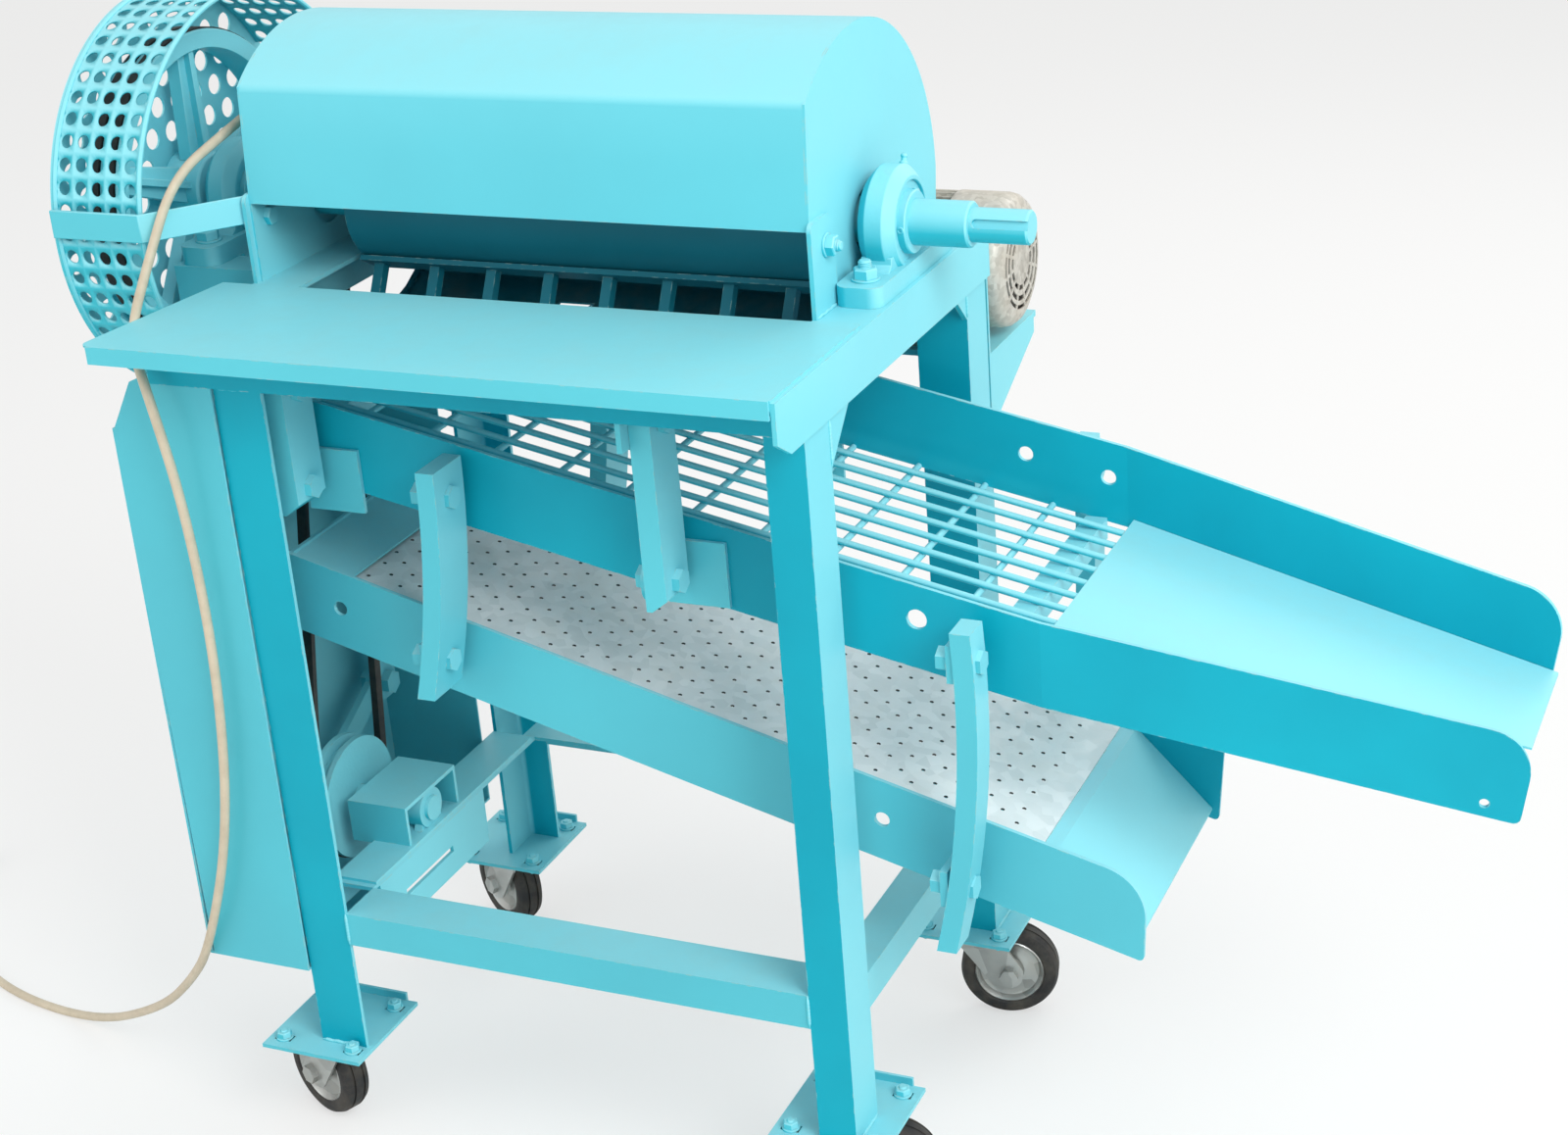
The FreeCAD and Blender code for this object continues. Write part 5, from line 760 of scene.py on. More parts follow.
@dataclass
class Studio:
    """Camera at the photograph's viewpoint, pale floor and soft lamps."""

    eye: Point3 = (906.85, -1993.3, 1510.9)
    azimuth: float = 25.35      # turn to the left of +Y, in degrees
    pitch: float = 23.52        # turn down
    roll: float = 4.56
    lens: float = 59.76         # focal length in millimetres
    sensor: float = 36.0        # width in millimetres
    floor_side: float = 40.0    # metres
    floor_glow: float = 0.55    # share of plain white that the camera sees in the floor
    room_light: float = 0.66

    def camera(self) -> None:
        """Set up the camera."""
        az, down, tilt = (math.radians(v) for v in (self.azimuth, self.pitch, self.roll))
        ahead = Vector((-math.sin(az) * math.cos(down), math.cos(az) * math.cos(down), -math.sin(down)))
        right = Vector((math.cos(az), math.sin(az), 0))
        below = ahead.cross(right)
        right, below = (right * math.cos(tilt) + below * math.sin(tilt),
                        below * math.cos(tilt) - right * math.sin(tilt))
        lens = bpy.data.cameras.new("photo_camera")
        lens.lens = self.lens
        lens.sensor_fit = "HORIZONTAL"
        lens.sensor_width = self.sensor
        lens.clip_start = 0.05
        lens.clip_end = 200.0
        eye = bpy.data.objects.new("photo_camera", lens)
        turn = Matrix((right, -below, -ahead)).transposed().to_4x4()
        eye.matrix_world = Matrix.Translation(Vector(self.eye) * MM) @ turn
        bpy.context.scene.collection.objects.link(eye)
        bpy.context.scene.camera = eye

    def floor(self) -> None:
        """Lay the pale floor that keeps the object's shadow."""
        half = self.floor_side / 2
        mesh = bpy.data.meshes.new("studio_floor")
        mesh.from_pydata([(-half, -half, 0), (half, -half, 0), (half, half, 0), (-half, half, 0)], [],
                         [(0, 1, 2, 3)])
        made = bpy.data.materials.new("pale_floor")
        made.use_nodes = True
        tree = made.node_tree
        tree.nodes.clear()
        matt = add_node(tree, "ShaderNodeBsdfDiffuse", {"Color": linear("#F4F4F2")})
        white = add_node(tree, "ShaderNodeEmission", {"Color": (1, 1, 1, 1), "Strength": 1.0})
        rays = add_node(tree, "ShaderNodeLightPath")
        seen = add_node(tree, "ShaderNodeMath", {0: rays.outputs["Is Camera Ray"], 1: self.floor_glow},
                        operation="MULTIPLY")
        mixed = add_node(tree, "ShaderNodeMixShader",
                         {0: seen.outputs[0], 1: matt.outputs[0], 2: white.outputs[0]})
        add_node(tree, "ShaderNodeOutputMaterial", {"Surface": mixed.outputs[0]})
        mesh.materials.append(made)
        plane = bpy.data.objects.new("studio_floor", mesh)
        bpy.context.scene.collection.objects.link(plane)

    def lamps(self) -> None:
        """Hang the soft lamps and set the world."""
        self.lamp("key_lamp", place=(2.7, -1.8, 3.0), aim=(0.0, 0.0, 0.6), side=2.0, power=102.0)
        self.lamp("fill_lamp", place=(-2.6, -2.4, 1.6), aim=(0.0, 0.0, 0.5), side=2.4, power=20.0)
        self.lamp("back_lamp", place=(1.0, 2.8, 2.8), aim=(0.0, 0.0, 0.6), side=2.0, power=26.0)
        world = bpy.data.worlds.new("studio_world")
        bpy.context.scene.world = world
        world.use_nodes = True
        tree = world.node_tree
        tree.nodes.clear()
        rays = add_node(tree, "ShaderNodeLightPath")
        shown = add_node(tree, "ShaderNodeMath",
                         {0: rays.outputs["Is Camera Ray"], 1: rays.outputs["Is Glossy Ray"]},
                         operation="MAXIMUM")
        every = add_node(tree, "ShaderNodeMath",
                         {0: shown.outputs[0], 1: rays.outputs["Is Transmission Ray"]},
                         operation="MAXIMUM")
        room = add_node(tree, "ShaderNodeBackground", {"Color": (1, 1, 1, 1), "Strength": self.room_light})
        white = add_node(tree, "ShaderNodeBackground", {"Color": (1, 1, 1, 1), "Strength": 1.0})
        mixed = add_node(tree, "ShaderNodeMixShader",
                         {0: every.outputs[0], 1: room.outputs[0], 2: white.outputs[0]})
        add_node(tree, "ShaderNodeOutputWorld", {"Surface": mixed.outputs[0]})
        bpy.context.scene.view_settings.view_transform = "Standard"

    def lamp(self, name: str, place: Sequence[float], aim: Sequence[float], side: float,
             power: float) -> None:
        """Hang one square lamp.

        Args:
            name: Name of the lamp.
            place: Its place, in metres.
            aim: Point that it faces.
            side: Side of its square, in metres.
            power: Power in watts.
        """
        light = bpy.data.lights.new(name, "AREA")
        light.size = side
        light.energy = power
        holder = bpy.data.objects.new(name, light)
        facing = Vector(aim) - Vector(place)
        holder.matrix_world = (Matrix.Translation(Vector(place))
                               @ facing.to_track_quat("-Z", "Y").to_matrix().to_4x4())
        bpy.context.scene.collection.objects.link(holder)

    def build(self) -> None:
        """Make the camera, the floor and the lamps."""
        self.camera()
        self.floor()
        self.lamps()


# Power cord


@dataclass
class PowerCord:
    """Flexible cord from the motor over the left drives to the floor, wound up out of view."""

    radius: float = 4.5
    lift: float = 0.2           # gap between cord and floor
    coil_x: float = RIGHT - 1298
    coil_y: float = FRONT + 218
    lane: float = 9.5           # step from turn to turn
    outer_lane: float = 59.3    # radius of the outermost turn
    turns: float = 2.05         # turns that lie on the floor
    turn_points: int = 14
    climb_points: int = 4
    top_points: int = 12
    layer: float = 9.4          # height of the top layer over the first
    plug_start: float = 64.0
    plug_radius: float = 17.3
    bore: float = 4.6           # bore of the ribbed sleeve
    ribs: int = 6
    rib_pitch: float = 6.0

    def route(self) -> list[Vector]:
        """Points of the route, the same as those of the solid.

        Returns:
            The points, from the terminal box to the coil.
        """
        floor = self.radius + self.lift - FOOT
        gland = [Vector((RIGHT - 211, MOTOR_Y, FOOT + 743)), Vector((RIGHT - 299, MOTOR_Y, FOOT + 743))]
        rest = [(186, 498, 752), (14, 484, 780), (-50, 436, 812), (-68, 345, 852), (-66, 240, 869),
                (-64, 165, 856), (-77, 97, 832), (-91, 62, 766), (-84, 8, 712), (-46, -27, 678),
                (-37, -15, 560), (-35, -13, 400), (-54, -14, 235), (-102, -14, 96), (-160, 18, 28),
                (-234, 52, -40), (-359, 92, floor), (-480, 106, floor), (-584, 156, floor),
                (-660, 156, floor)]
        return gland + [Vector((LEFT + x, FRONT + y, FOOT + z)) for x, y, z in rest]

    def coil(self) -> list[Vector]:
        """Points of the wound turns: inwards on the floor, then outwards on top of them.

        Returns:
            The points, without those that lead into the plug.
        """
        points = []
        low = self.radius + self.lift
        high = low + self.layer
        per_turn = self.turn_points
        step = 2 * math.pi / per_turn
        count = round(self.turns * per_turn)
        angle = -math.pi / 2
        for k in range(count):
            points.append((self.outer_lane - self.lane * k / per_turn, angle, low))
            angle -= step
        inner = self.outer_lane - self.lane * count / per_turn
        for k in range(self.climb_points):
            points.append((inner, angle, low + (high - low) * (k + 0.5) / self.climb_points))
            angle -= step
        for k in range(self.top_points):
            points.append((inner + self.lane * k / per_turn, angle, high))
            angle -= step
        return [Vector((self.coil_x + r * math.cos(a), self.coil_y + r * math.sin(a), z))
                for r, a, z in points]

    def tail(self) -> list[Vector]:
        """Last points, over the inner turn and into the plug's grip.

        Returns:
            The points, the last two of them inside the plug.
        """
        over = [(-46.2, -10.4, 17.1), (-45.2, 10.7, 21.1), (-34.1, 29.1, 23.9), (-15.4, 40.7, 23.8)]
        grip = [(0.0, self.plug_start - 1, self.plug_radius), (0.0, self.plug_start + 14, self.plug_radius)]
        return [Vector((self.coil_x + x, self.coil_y + y, z)) for x, y, z in over + grip]

    def line(self) -> bpy.types.Object:
        """The cord as one smooth spline with a round bevel.

        Returns:
            Curve object that isn't linked yet.
        """
        points = self.route() + self.coil() + self.tail()
        curve = bpy.data.curves.new("power_cord", "CURVE")
        curve.dimensions = "3D"
        curve.bevel_depth = self.radius * MM
        curve.bevel_resolution = 4
        curve.resolution_u = 8
        curve.use_fill_caps = True
        spline = curve.splines.new("NURBS")
        spline.points.add(len(points) - 1)
        for knot, point in zip(spline.points, points):
            knot.co = (*(point * MM), 1.0)
        spline.order_u = 3
        spline.use_endpoint_u = True
        return bpy.data.objects.new("power_cord", curve)

    def length(self, cord: bpy.types.Object) -> float:
        """Measure the cord's own line.

        Args:
            cord: The cord's curve object.

        Returns:
            Its length in metres.
        """
        copy = cord.data.copy()
        copy.bevel_depth = 0.0
        copy.use_fill_caps = False
        mesh = curve_mesh("measured_line", copy)
        spots = [vertex.co for vertex in mesh.vertices]
        total = sum((spots[e.vertices[0]] - spots[e.vertices[1]]).length for e in mesh.edges)
        bpy.data.meshes.remove(mesh)
        return total

    def build(self) -> None:
        cord = self.line()
        settle_piece(cord, Body.FRAME.value, SHEATH, ("cord_run", "cord_coil"))
        real = self.length(cord)
        log.info("cord length %.3f m", real)
        start = self.route()[0] * MM
        self.strain_relief(start / MM)

    def strain_relief(self, start: Vector) -> None:
        """Tapered ribbed sleeve where the cord leaves the terminal box.

        Args:
            start: Point where the cord leaves it, in millimetres.
        """
        profile: list[Point2] = [(-4, self.bore), (-4, 10.5), (2, 10.5), (3, 9.0)]
        for k in range(self.ribs):
            at = 5 + self.rib_pitch * k
            wide = 8.6 - 0.5 * k
            profile += [(at, wide), (at + 3.4, wide - 0.2), (at + 3.8, wide - 1.2), (at + 5.4, wide - 1.3)]
        end = 5 + self.rib_pitch * self.ribs
        profile += [(end, 5.2), (end, self.bore)]
        sleeve = Shape()
        sleeve.lathe(profile, start, -X_AXIS, 32)
        make_piece("cord_strain_relief", sleeve, Body.FRAME.value, MOULDED)


# Pulley guard


@dataclass
class PulleyGuard:
    """Perforated band and back plate round the big pulley."""

    x0: float = RIGHT - 766     # left edge of the band
    width: float = 96.0
    radius: float = 188.0
    sheet: float = 2.0          # thickness
    start: float = 34.0         # degrees from +Y, over the top
    stop: float = 264.0
    across: int = 5             # holes side by side
    rows: int = 36
    hole: float = 6.4           # radius
    margin: float = 3.0         # plain edge beside the holes
    rim: float = 2.6            # radius of the rolled rims
    rim_steps: int = 96
    strap_rise: float = 18.0    # middle of the strap over the shaft
    strap_height: float = 26.0
    strap: float = 4.0          # its thickness
    small: float = 60.0         # radius of the back plate round the motor's pulley
    back_hole: float = 10.0     # radius
    back_pitch: float = 31.0
    back_rows: int = 14         # rows of holes to each side of the shaft
    shaft_hole: float = 30.0

    def at(self, x: float, degrees: float, radius: float) -> Vector:
        """Point on the band."""
        angle = math.radians(degrees)
        return Vector((x, SHAFT_Y + radius * math.cos(angle), SHAFT_Z + radius * math.sin(angle)))

    def band(self) -> None:
        """Curved sheet with real holes."""
        shape = Shape()
        sides = 16
        turns = [2 * math.pi * k / sides for k in range(sides)]
        circle = [(math.cos(angle), math.sin(angle)) for angle in turns]
        pitch = (self.width - 2 * self.margin) / self.across
        step = (self.stop - self.start) / self.rows
        round_share = self.hole / (pitch / 2)
        arc = math.radians(step) * self.radius
        tall_share = self.hole / (arc / 2)
        for i in range(self.rows):
            for j in range(self.across):
                cx = self.x0 + self.margin + pitch * (j + 0.5)
                ca = self.start + step * (i + 0.5)
                spots = []
                for c, s in circle:
                    grow = 1 / max(abs(c), abs(s))
                    spots.append((cx + c * grow * pitch / 2, ca + s * grow * step / 2))
                spots += [(cx + c * round_share * pitch / 2, ca + s * tall_share * step / 2)
                          for c, s in circle]
                points = [self.at(x, degrees, self.radius) for x, degrees in spots]
                faces = [(k, (k + 1) % sides, sides + (k + 1) % sides, sides + k) for k in range(sides)]
                shape.add(points, faces)
        for x in (self.x0, self.x0 + self.width - self.margin):
            for k in range(2 * self.rows):
                a0 = self.start + step * (k / 2)
                a1 = self.start + step * ((k + 1) / 2)
                corners = ((x, a0), (x + self.margin, a0), (x + self.margin, a1), (x, a1))
                points = [self.at(across, degrees, self.radius) for across, degrees in corners]
                shape.add(points, [(0, 1, 2, 3)])
        band = make_piece("pulley_guard_band", shape, Body.FRAME.value, PAINT, ("guard_band",),
                          join=0.02)
        thick = band.modifiers.new("sheet", "SOLIDIFY")
        thick.thickness = self.sheet * MM
        thick.offset = 0.0

    def hoops(self) -> None:
        """Rolled rims of the band and the strap in front."""
        shape = Shape()
        steps = self.rim_steps
        turns = [self.start + (self.stop - self.start) * k / steps for k in range(steps + 1)]
        middle = self.margin / 2
        for x in (self.x0 + middle, self.x0 + self.width - middle):
            path = [self.at(x, degrees, self.radius + self.sheet / 2) for degrees in turns]
            shape.tube(path, [self.rim] * len(path), 10)
        make_piece("pulley_guard_rims", shape, Body.FRAME.value, PAINT)
        strap = Shape()
        z = SHAFT_Z + self.strap_rise
        y = SHAFT_Y - self.radius - 3
        low = z - self.strap_height / 2
        end = self.x0 + self.width + 2
        tie = POST_Y + 6
        corners = ((self.x0, y - self.strap), (end, y - self.strap), (POST_LEFT, tie),
                   (POST_LEFT, tie + self.strap), (end, y), (self.x0, y))
        strap.prism([Vector((a, b, low)) for a, b in corners], Z_AXIS * self.strap_height)
        make_piece("pulley_guard_strap", strap, Body.FRAME.value, PAINT, soften=0.8)

    def back(self) -> None:
        """Back plate with staggered round holes."""
        centre = (SHAFT_Y, SHAFT_Z)
        small = (MOTOR_Y, MOTOR_Z)
        outer = self.radius + 3
        away = math.atan2(small[1] - centre[1], small[0] - centre[0])
        span = math.hypot(small[0] - centre[0], small[1] - centre[1])
        lean = math.acos((outer - self.small) / span)
        first = math.degrees(away + lean)
        last = math.degrees(away - lean)
        outline = (arc_points(centre, outer, first, last + 360, 120)
                   + arc_points(small, self.small, last, first, 40))
        holes = []
        rows = self.back_rows
        for i in range(-rows, rows + 1):
            for j in range(-rows, rows + 1):
                y = centre[0] + self.back_pitch * (j + 0.5 * (i % 2))
                z = centre[1] + self.back_pitch * ROW_RISE * i
                away_big = math.hypot(y - centre[0], z - centre[1])
                away_small = math.hypot(y - small[0], z - small[1])
                if 34 < away_big < outer - 16 or away_small < self.small - 18:
                    holes.append((y, z, self.back_hole))
        holes.append((centre[0], centre[1], self.shaft_hole))
        plate = pierced_plate("pulley_guard_back", outline, holes, self.sheet,
                              plane_yz(self.x0 - self.sheet / 2))
        settle_piece(plate, Body.FRAME.value, PAINT, ("guard_back",))

    def build(self) -> None:
        """Make the guard."""
        self.band()
        self.hoops()
        self.back()


# Hood


@dataclass
class Hood:
    """Folded and rolled sheet over the drum."""

    left: float = RIGHT - 598
    right: float = RIGHT - 52
    radius: float = 171.0
    crease: float = 113.0       # fold before the shaft
    mouth: float = 24.0         # lower edge over the shaft
    lean: float = 9.0           # lower edge before the fold
    sheet: float = 2.0
    fold_radius: float = 5.0
    stations: int = 25          # sections along the sheet

    def section(self) -> list[Point2]:
        """Outer line of the sheet, from the mouth over the top to the back.

        Returns:
            Its points in Y and Z.
        """
        cy = SHAFT_Y - self.crease
        cz = SHAFT_Z + math.sqrt(self.radius ** 2 - self.crease ** 2)
        start = math.degrees(math.atan2(cz - SHAFT_Z, cy - SHAFT_Y))
        panel_low = Vector((cy - self.lean, SHAFT_Z + self.mouth))
        fold = Vector((cy, cz))
        up = (fold - panel_low).normalized()
        points = [tuple(panel_low + (fold - panel_low) * t) for t in (0.0, 0.5)]
        before = fold - up * self.fold_radius
        arc = arc_points((SHAFT_Y, SHAFT_Z), self.radius, start - 1.6, 0.0, 56)
        after = Vector(arc[0])
        for t in (0.0, 0.25, 0.5, 0.75):
            bend = before * (1 - t) ** 2 + fold * (2 * t * (1 - t)) + after * t ** 2
            points.append(tuple(bend))
        return points + arc

    def build(self) -> None:
        """Make the sheet."""
        outer = self.section()
        inner: list[Point2] = []
        count = len(outer)
        for i, (y, z) in enumerate(outer):
            y0, z0 = outer[max(i - 1, 0)]
            y1, z1 = outer[min(i + 1, count - 1)]
            run = Vector((y1 - y0, z1 - z0)).normalized()
            inner.append((y + run.y * self.sheet, z - run.x * self.sheet))
        loop = outer + inner[::-1]
        shape = Shape()
        last = self.stations - 1
        points = []
        for s in range(self.stations):
            x = self.left + (self.right - self.left) * s / last
            points += [Vector((x, y, z)) for y, z in loop]
        size = len(loop)
        faces = skin(self.stations, size)
        for end in (0, last * size):
            faces += [(end + i, end + i + 1, end + size - 2 - i, end + size - 1 - i)
                      for i in range(count - 1)]
        shape.add(points, faces)
        make_piece("hood_sheet", shape, Body.FRAME.value, PAINT, ("hood_cover",), smooth=50)


# Pulleys and belts


@dataclass
class BeltDrive:
    """Cast pulleys and their V belts at the left end."""

    big_x: float = RIGHT - 743
    big_radius: float = 150.0
    rim: float = 18.0           # depth of its rim
    width: float = 34.0
    hub: float = 34.0
    bore: float = 20.0
    arms: int = 5
    # half depth of an arm's plate and of its rib, and their half widths at the hub and at the rim
    arm_sections: tuple[Point3, ...] = ((7.0, 17.0, 12.0), (14.0, 3.5, 3.5))
    small_radius: float = 42.0
    small_width: float = 24.0
    groove: float = 10.0        # depth
    shaker_x: float = RIGHT - 616
    crank_y: float = FRONT + 178
    crank_z: float = FOOT + 171
    crank_radius: float = 62.0
    sink: float = 6.5           # belts' inner face under the rim
    belt_width: float = 10.0
    belt_depth: float = 8.0

    def rim_profile(self, outer: float, width: float, grooves: int, inner: float) -> list[Point2]:
        """Section of a grooved rim about its middle plane.

        Args:
            outer: Outer radius.
            width: Width of the rim.
            grooves: Number of grooves side by side.
            inner: Inner radius.

        Returns:
            Distance along the axis and radius of each corner.
        """
        pitch = width / grooves
        points: list[Point2] = [(-width / 2, inner), (-width / 2, outer - 1), (-width / 2 + 1, outer)]
        for k in range(grooves):
            middle = -width / 2 + pitch * (k + 0.5)
            points += [(middle - 6.2, outer), (middle - 5.4, outer - self.groove),
                       (middle + 5.4, outer - self.groove), (middle + 6.2, outer)]
        return points + [(width / 2 - 1, outer), (width / 2, outer - 1), (width / 2, inner)]

    def big_pulley(self) -> None:
        """Two-groove pulley with flat ribbed arms."""
        centre = Vector((self.big_x, SHAFT_Y, SHAFT_Z))
        shape = Shape()
        inner = self.big_radius - self.rim
        profile = self.rim_profile(self.big_radius, self.width, 2, inner)
        shape.lathe(profile, centre, X_AXIS, 128)
        half = self.width / 2 + 4
        shape.lathe([(-half, self.bore), (-half, self.hub - 2), (-half + 2, self.hub), (half - 2, self.hub),
                     (half, self.hub - 2), (half, self.bore)], centre, X_AXIS, 64)
        for k in range(self.arms):
            angle = math.radians(360 * k / self.arms + 18)
            turn = Quaternion(X_AXIS, angle)
            for x, tall, wide in self.arm_sections:
                corners = ((self.hub - 4, -tall), (inner + 3, -wide), (inner + 3, wide), (self.hub - 4, tall))
                shape.prism([centre + turn @ Vector((-x, y, z)) for y, z in corners], X_AXIS * (2 * x))
        make_piece("big_pulley_casting", shape, Body.DRUM.value, PAINT_CAST, ("big_pulley",),
                   soften=1.2)

    def small_pulley(self) -> None:
        """Single-groove pulley on the drum shaft."""
        centre = Vector((self.shaker_x, SHAFT_Y, SHAFT_Z))
        shape = Shape()
        shape.lathe(self.rim_profile(self.small_radius, self.small_width, 1, self.bore), centre, X_AXIS, 64)
        make_piece("shaker_pulley_casting", shape, Body.DRUM.value, PAINT_CAST,
                   ("shaker_pulley",))

    def belt(self, shape: Shape, x: float, wheels: Sequence[Point3]) -> None:
        """Add a closed V belt round two pulleys.

        Args:
            shape: Shape that gets it.
            x: Middle plane of the belt.
            wheels: Centre in Y and Z of each pulley, and radius of the belt's inner face on it.
        """
        (ya, za, ra), (yb, zb, rb) = wheels
        span = math.hypot(yb - ya, zb - za)
        base = math.atan2(zb - za, yb - ya)
        lean = math.acos((ra - rb) / span)
        stations: list[Point3] = []
        for y, z, r, start, stop, steps in ((ya, za, ra, base + lean, base - lean + 2 * math.pi, 48),
                                            (yb, zb, rb, base - lean, base + lean, 32)):
            for k in range(steps + 1):
                angle = start + (stop - start) * k / steps
                stations.append((y + r * math.cos(angle), z + r * math.sin(angle), angle))
        points: list[Vector] = []
        half = self.belt_width / 2
        section = ((-half, self.belt_depth), (half, self.belt_depth), (half, self.belt_depth - 2.0),
                   (half - 1.3, 0.0), (-half + 1.3, 0.0), (-half, self.belt_depth - 2.0))
        for y, z, angle in stations:
            for across, out in section:
                points.append(Vector((x + across, y + out * math.cos(angle), z + out * math.sin(angle))))
        shape.add(points, skin(len(stations), len(section), closed=True))

    def belts(self) -> None:
        """Two belts from the motor line and one to the crank."""
        shape = Shape()
        for side in (-1, 1):
            self.belt(shape, self.big_x + side * self.width / 4,
                      ((SHAFT_Y, SHAFT_Z, self.big_radius - self.sink),
                       (MOTOR_Y, MOTOR_Z, self.small_radius - self.sink)))
        self.belt(shape, self.shaker_x, ((SHAFT_Y, SHAFT_Z, self.small_radius - self.sink),
                                         (self.crank_y, self.crank_z, self.crank_radius - self.sink)))
        make_piece("v_belts", shape, Body.FRAME.value, BELT, ("drive_belts",))

    def build(self) -> None:
        """Make the pulleys and belts."""
        self.big_pulley()
        self.small_pulley()
        self.belts()


# Casters


@dataclass
class CasterWheel:
    """Rubber tyre on a pressed rim, turning in its fork."""

    name: str
    radius: float = 50.0
    width: float = 30.0

    def axle(self) -> tuple[Vector, Vector]:
        """Read the axle from the joint that the wheel rolls on.

        Returns:
            Middle of the wheel in millimetres, and the axle's direction.
        """
        for joint in frame["joints"]:
            if joint["name"] == self.name + "_roll":
                return Vector(joint["pos_m"]) / MM, Vector(joint["axis"])
        raise ValueError(self.name)

    def build(self) -> None:
        """Make the tyre and the rim."""
        centre, axis = self.axle()
        half = self.width / 2
        tyre = Shape()
        outer = self.radius
        profile: list[Point2] = [(-half + 3, 34.5), (-half + 0.6, 37), (-half, 40), (-half + 0.4, 43.5),
                                 (-half + 2.4, 47.2), (-half + 6, outer - 0.9)]
        for groove in (-5.5, 5.5):
            profile += [(groove - 1.3, outer - 0.1), (groove - 0.9, outer - 1.6), (groove + 0.9, outer - 1.6),
                        (groove + 1.3, outer - 0.1)]
        profile += [(half - 6, outer - 0.9), (half - 2.4, 47.2), (half - 0.4, 43.5), (half, 40),
                    (half - 0.6, 37), (half - 3, 34.5)]
        tyre.lathe(profile, centre, axis, 96)
        body = self.name + "_wheel"
        make_piece("tyre_" + self.name, tyre, body, TYRE, ("wheel_" + self.name,))
        rim = Shape()
        disc: list[Point2] = [(-half + 2.6, 35.4), (-half + 1.6, 34.0), (-half + 3.4, 32.4), (-8, 30.2),
                              (-7, 25), (-8.2, 19), (-9, 15), (-half - 1, 12.6), (-half - 2, 11.4),
                              (-half - 2, 5.06)]
        ring = disc + [(-a, r) for a, r in disc[::-1]]
        rim.lathe(ring, centre, axis, 80)
        make_piece("rim_" + self.name, rim, body, ZINC_PLATE)


# Motor


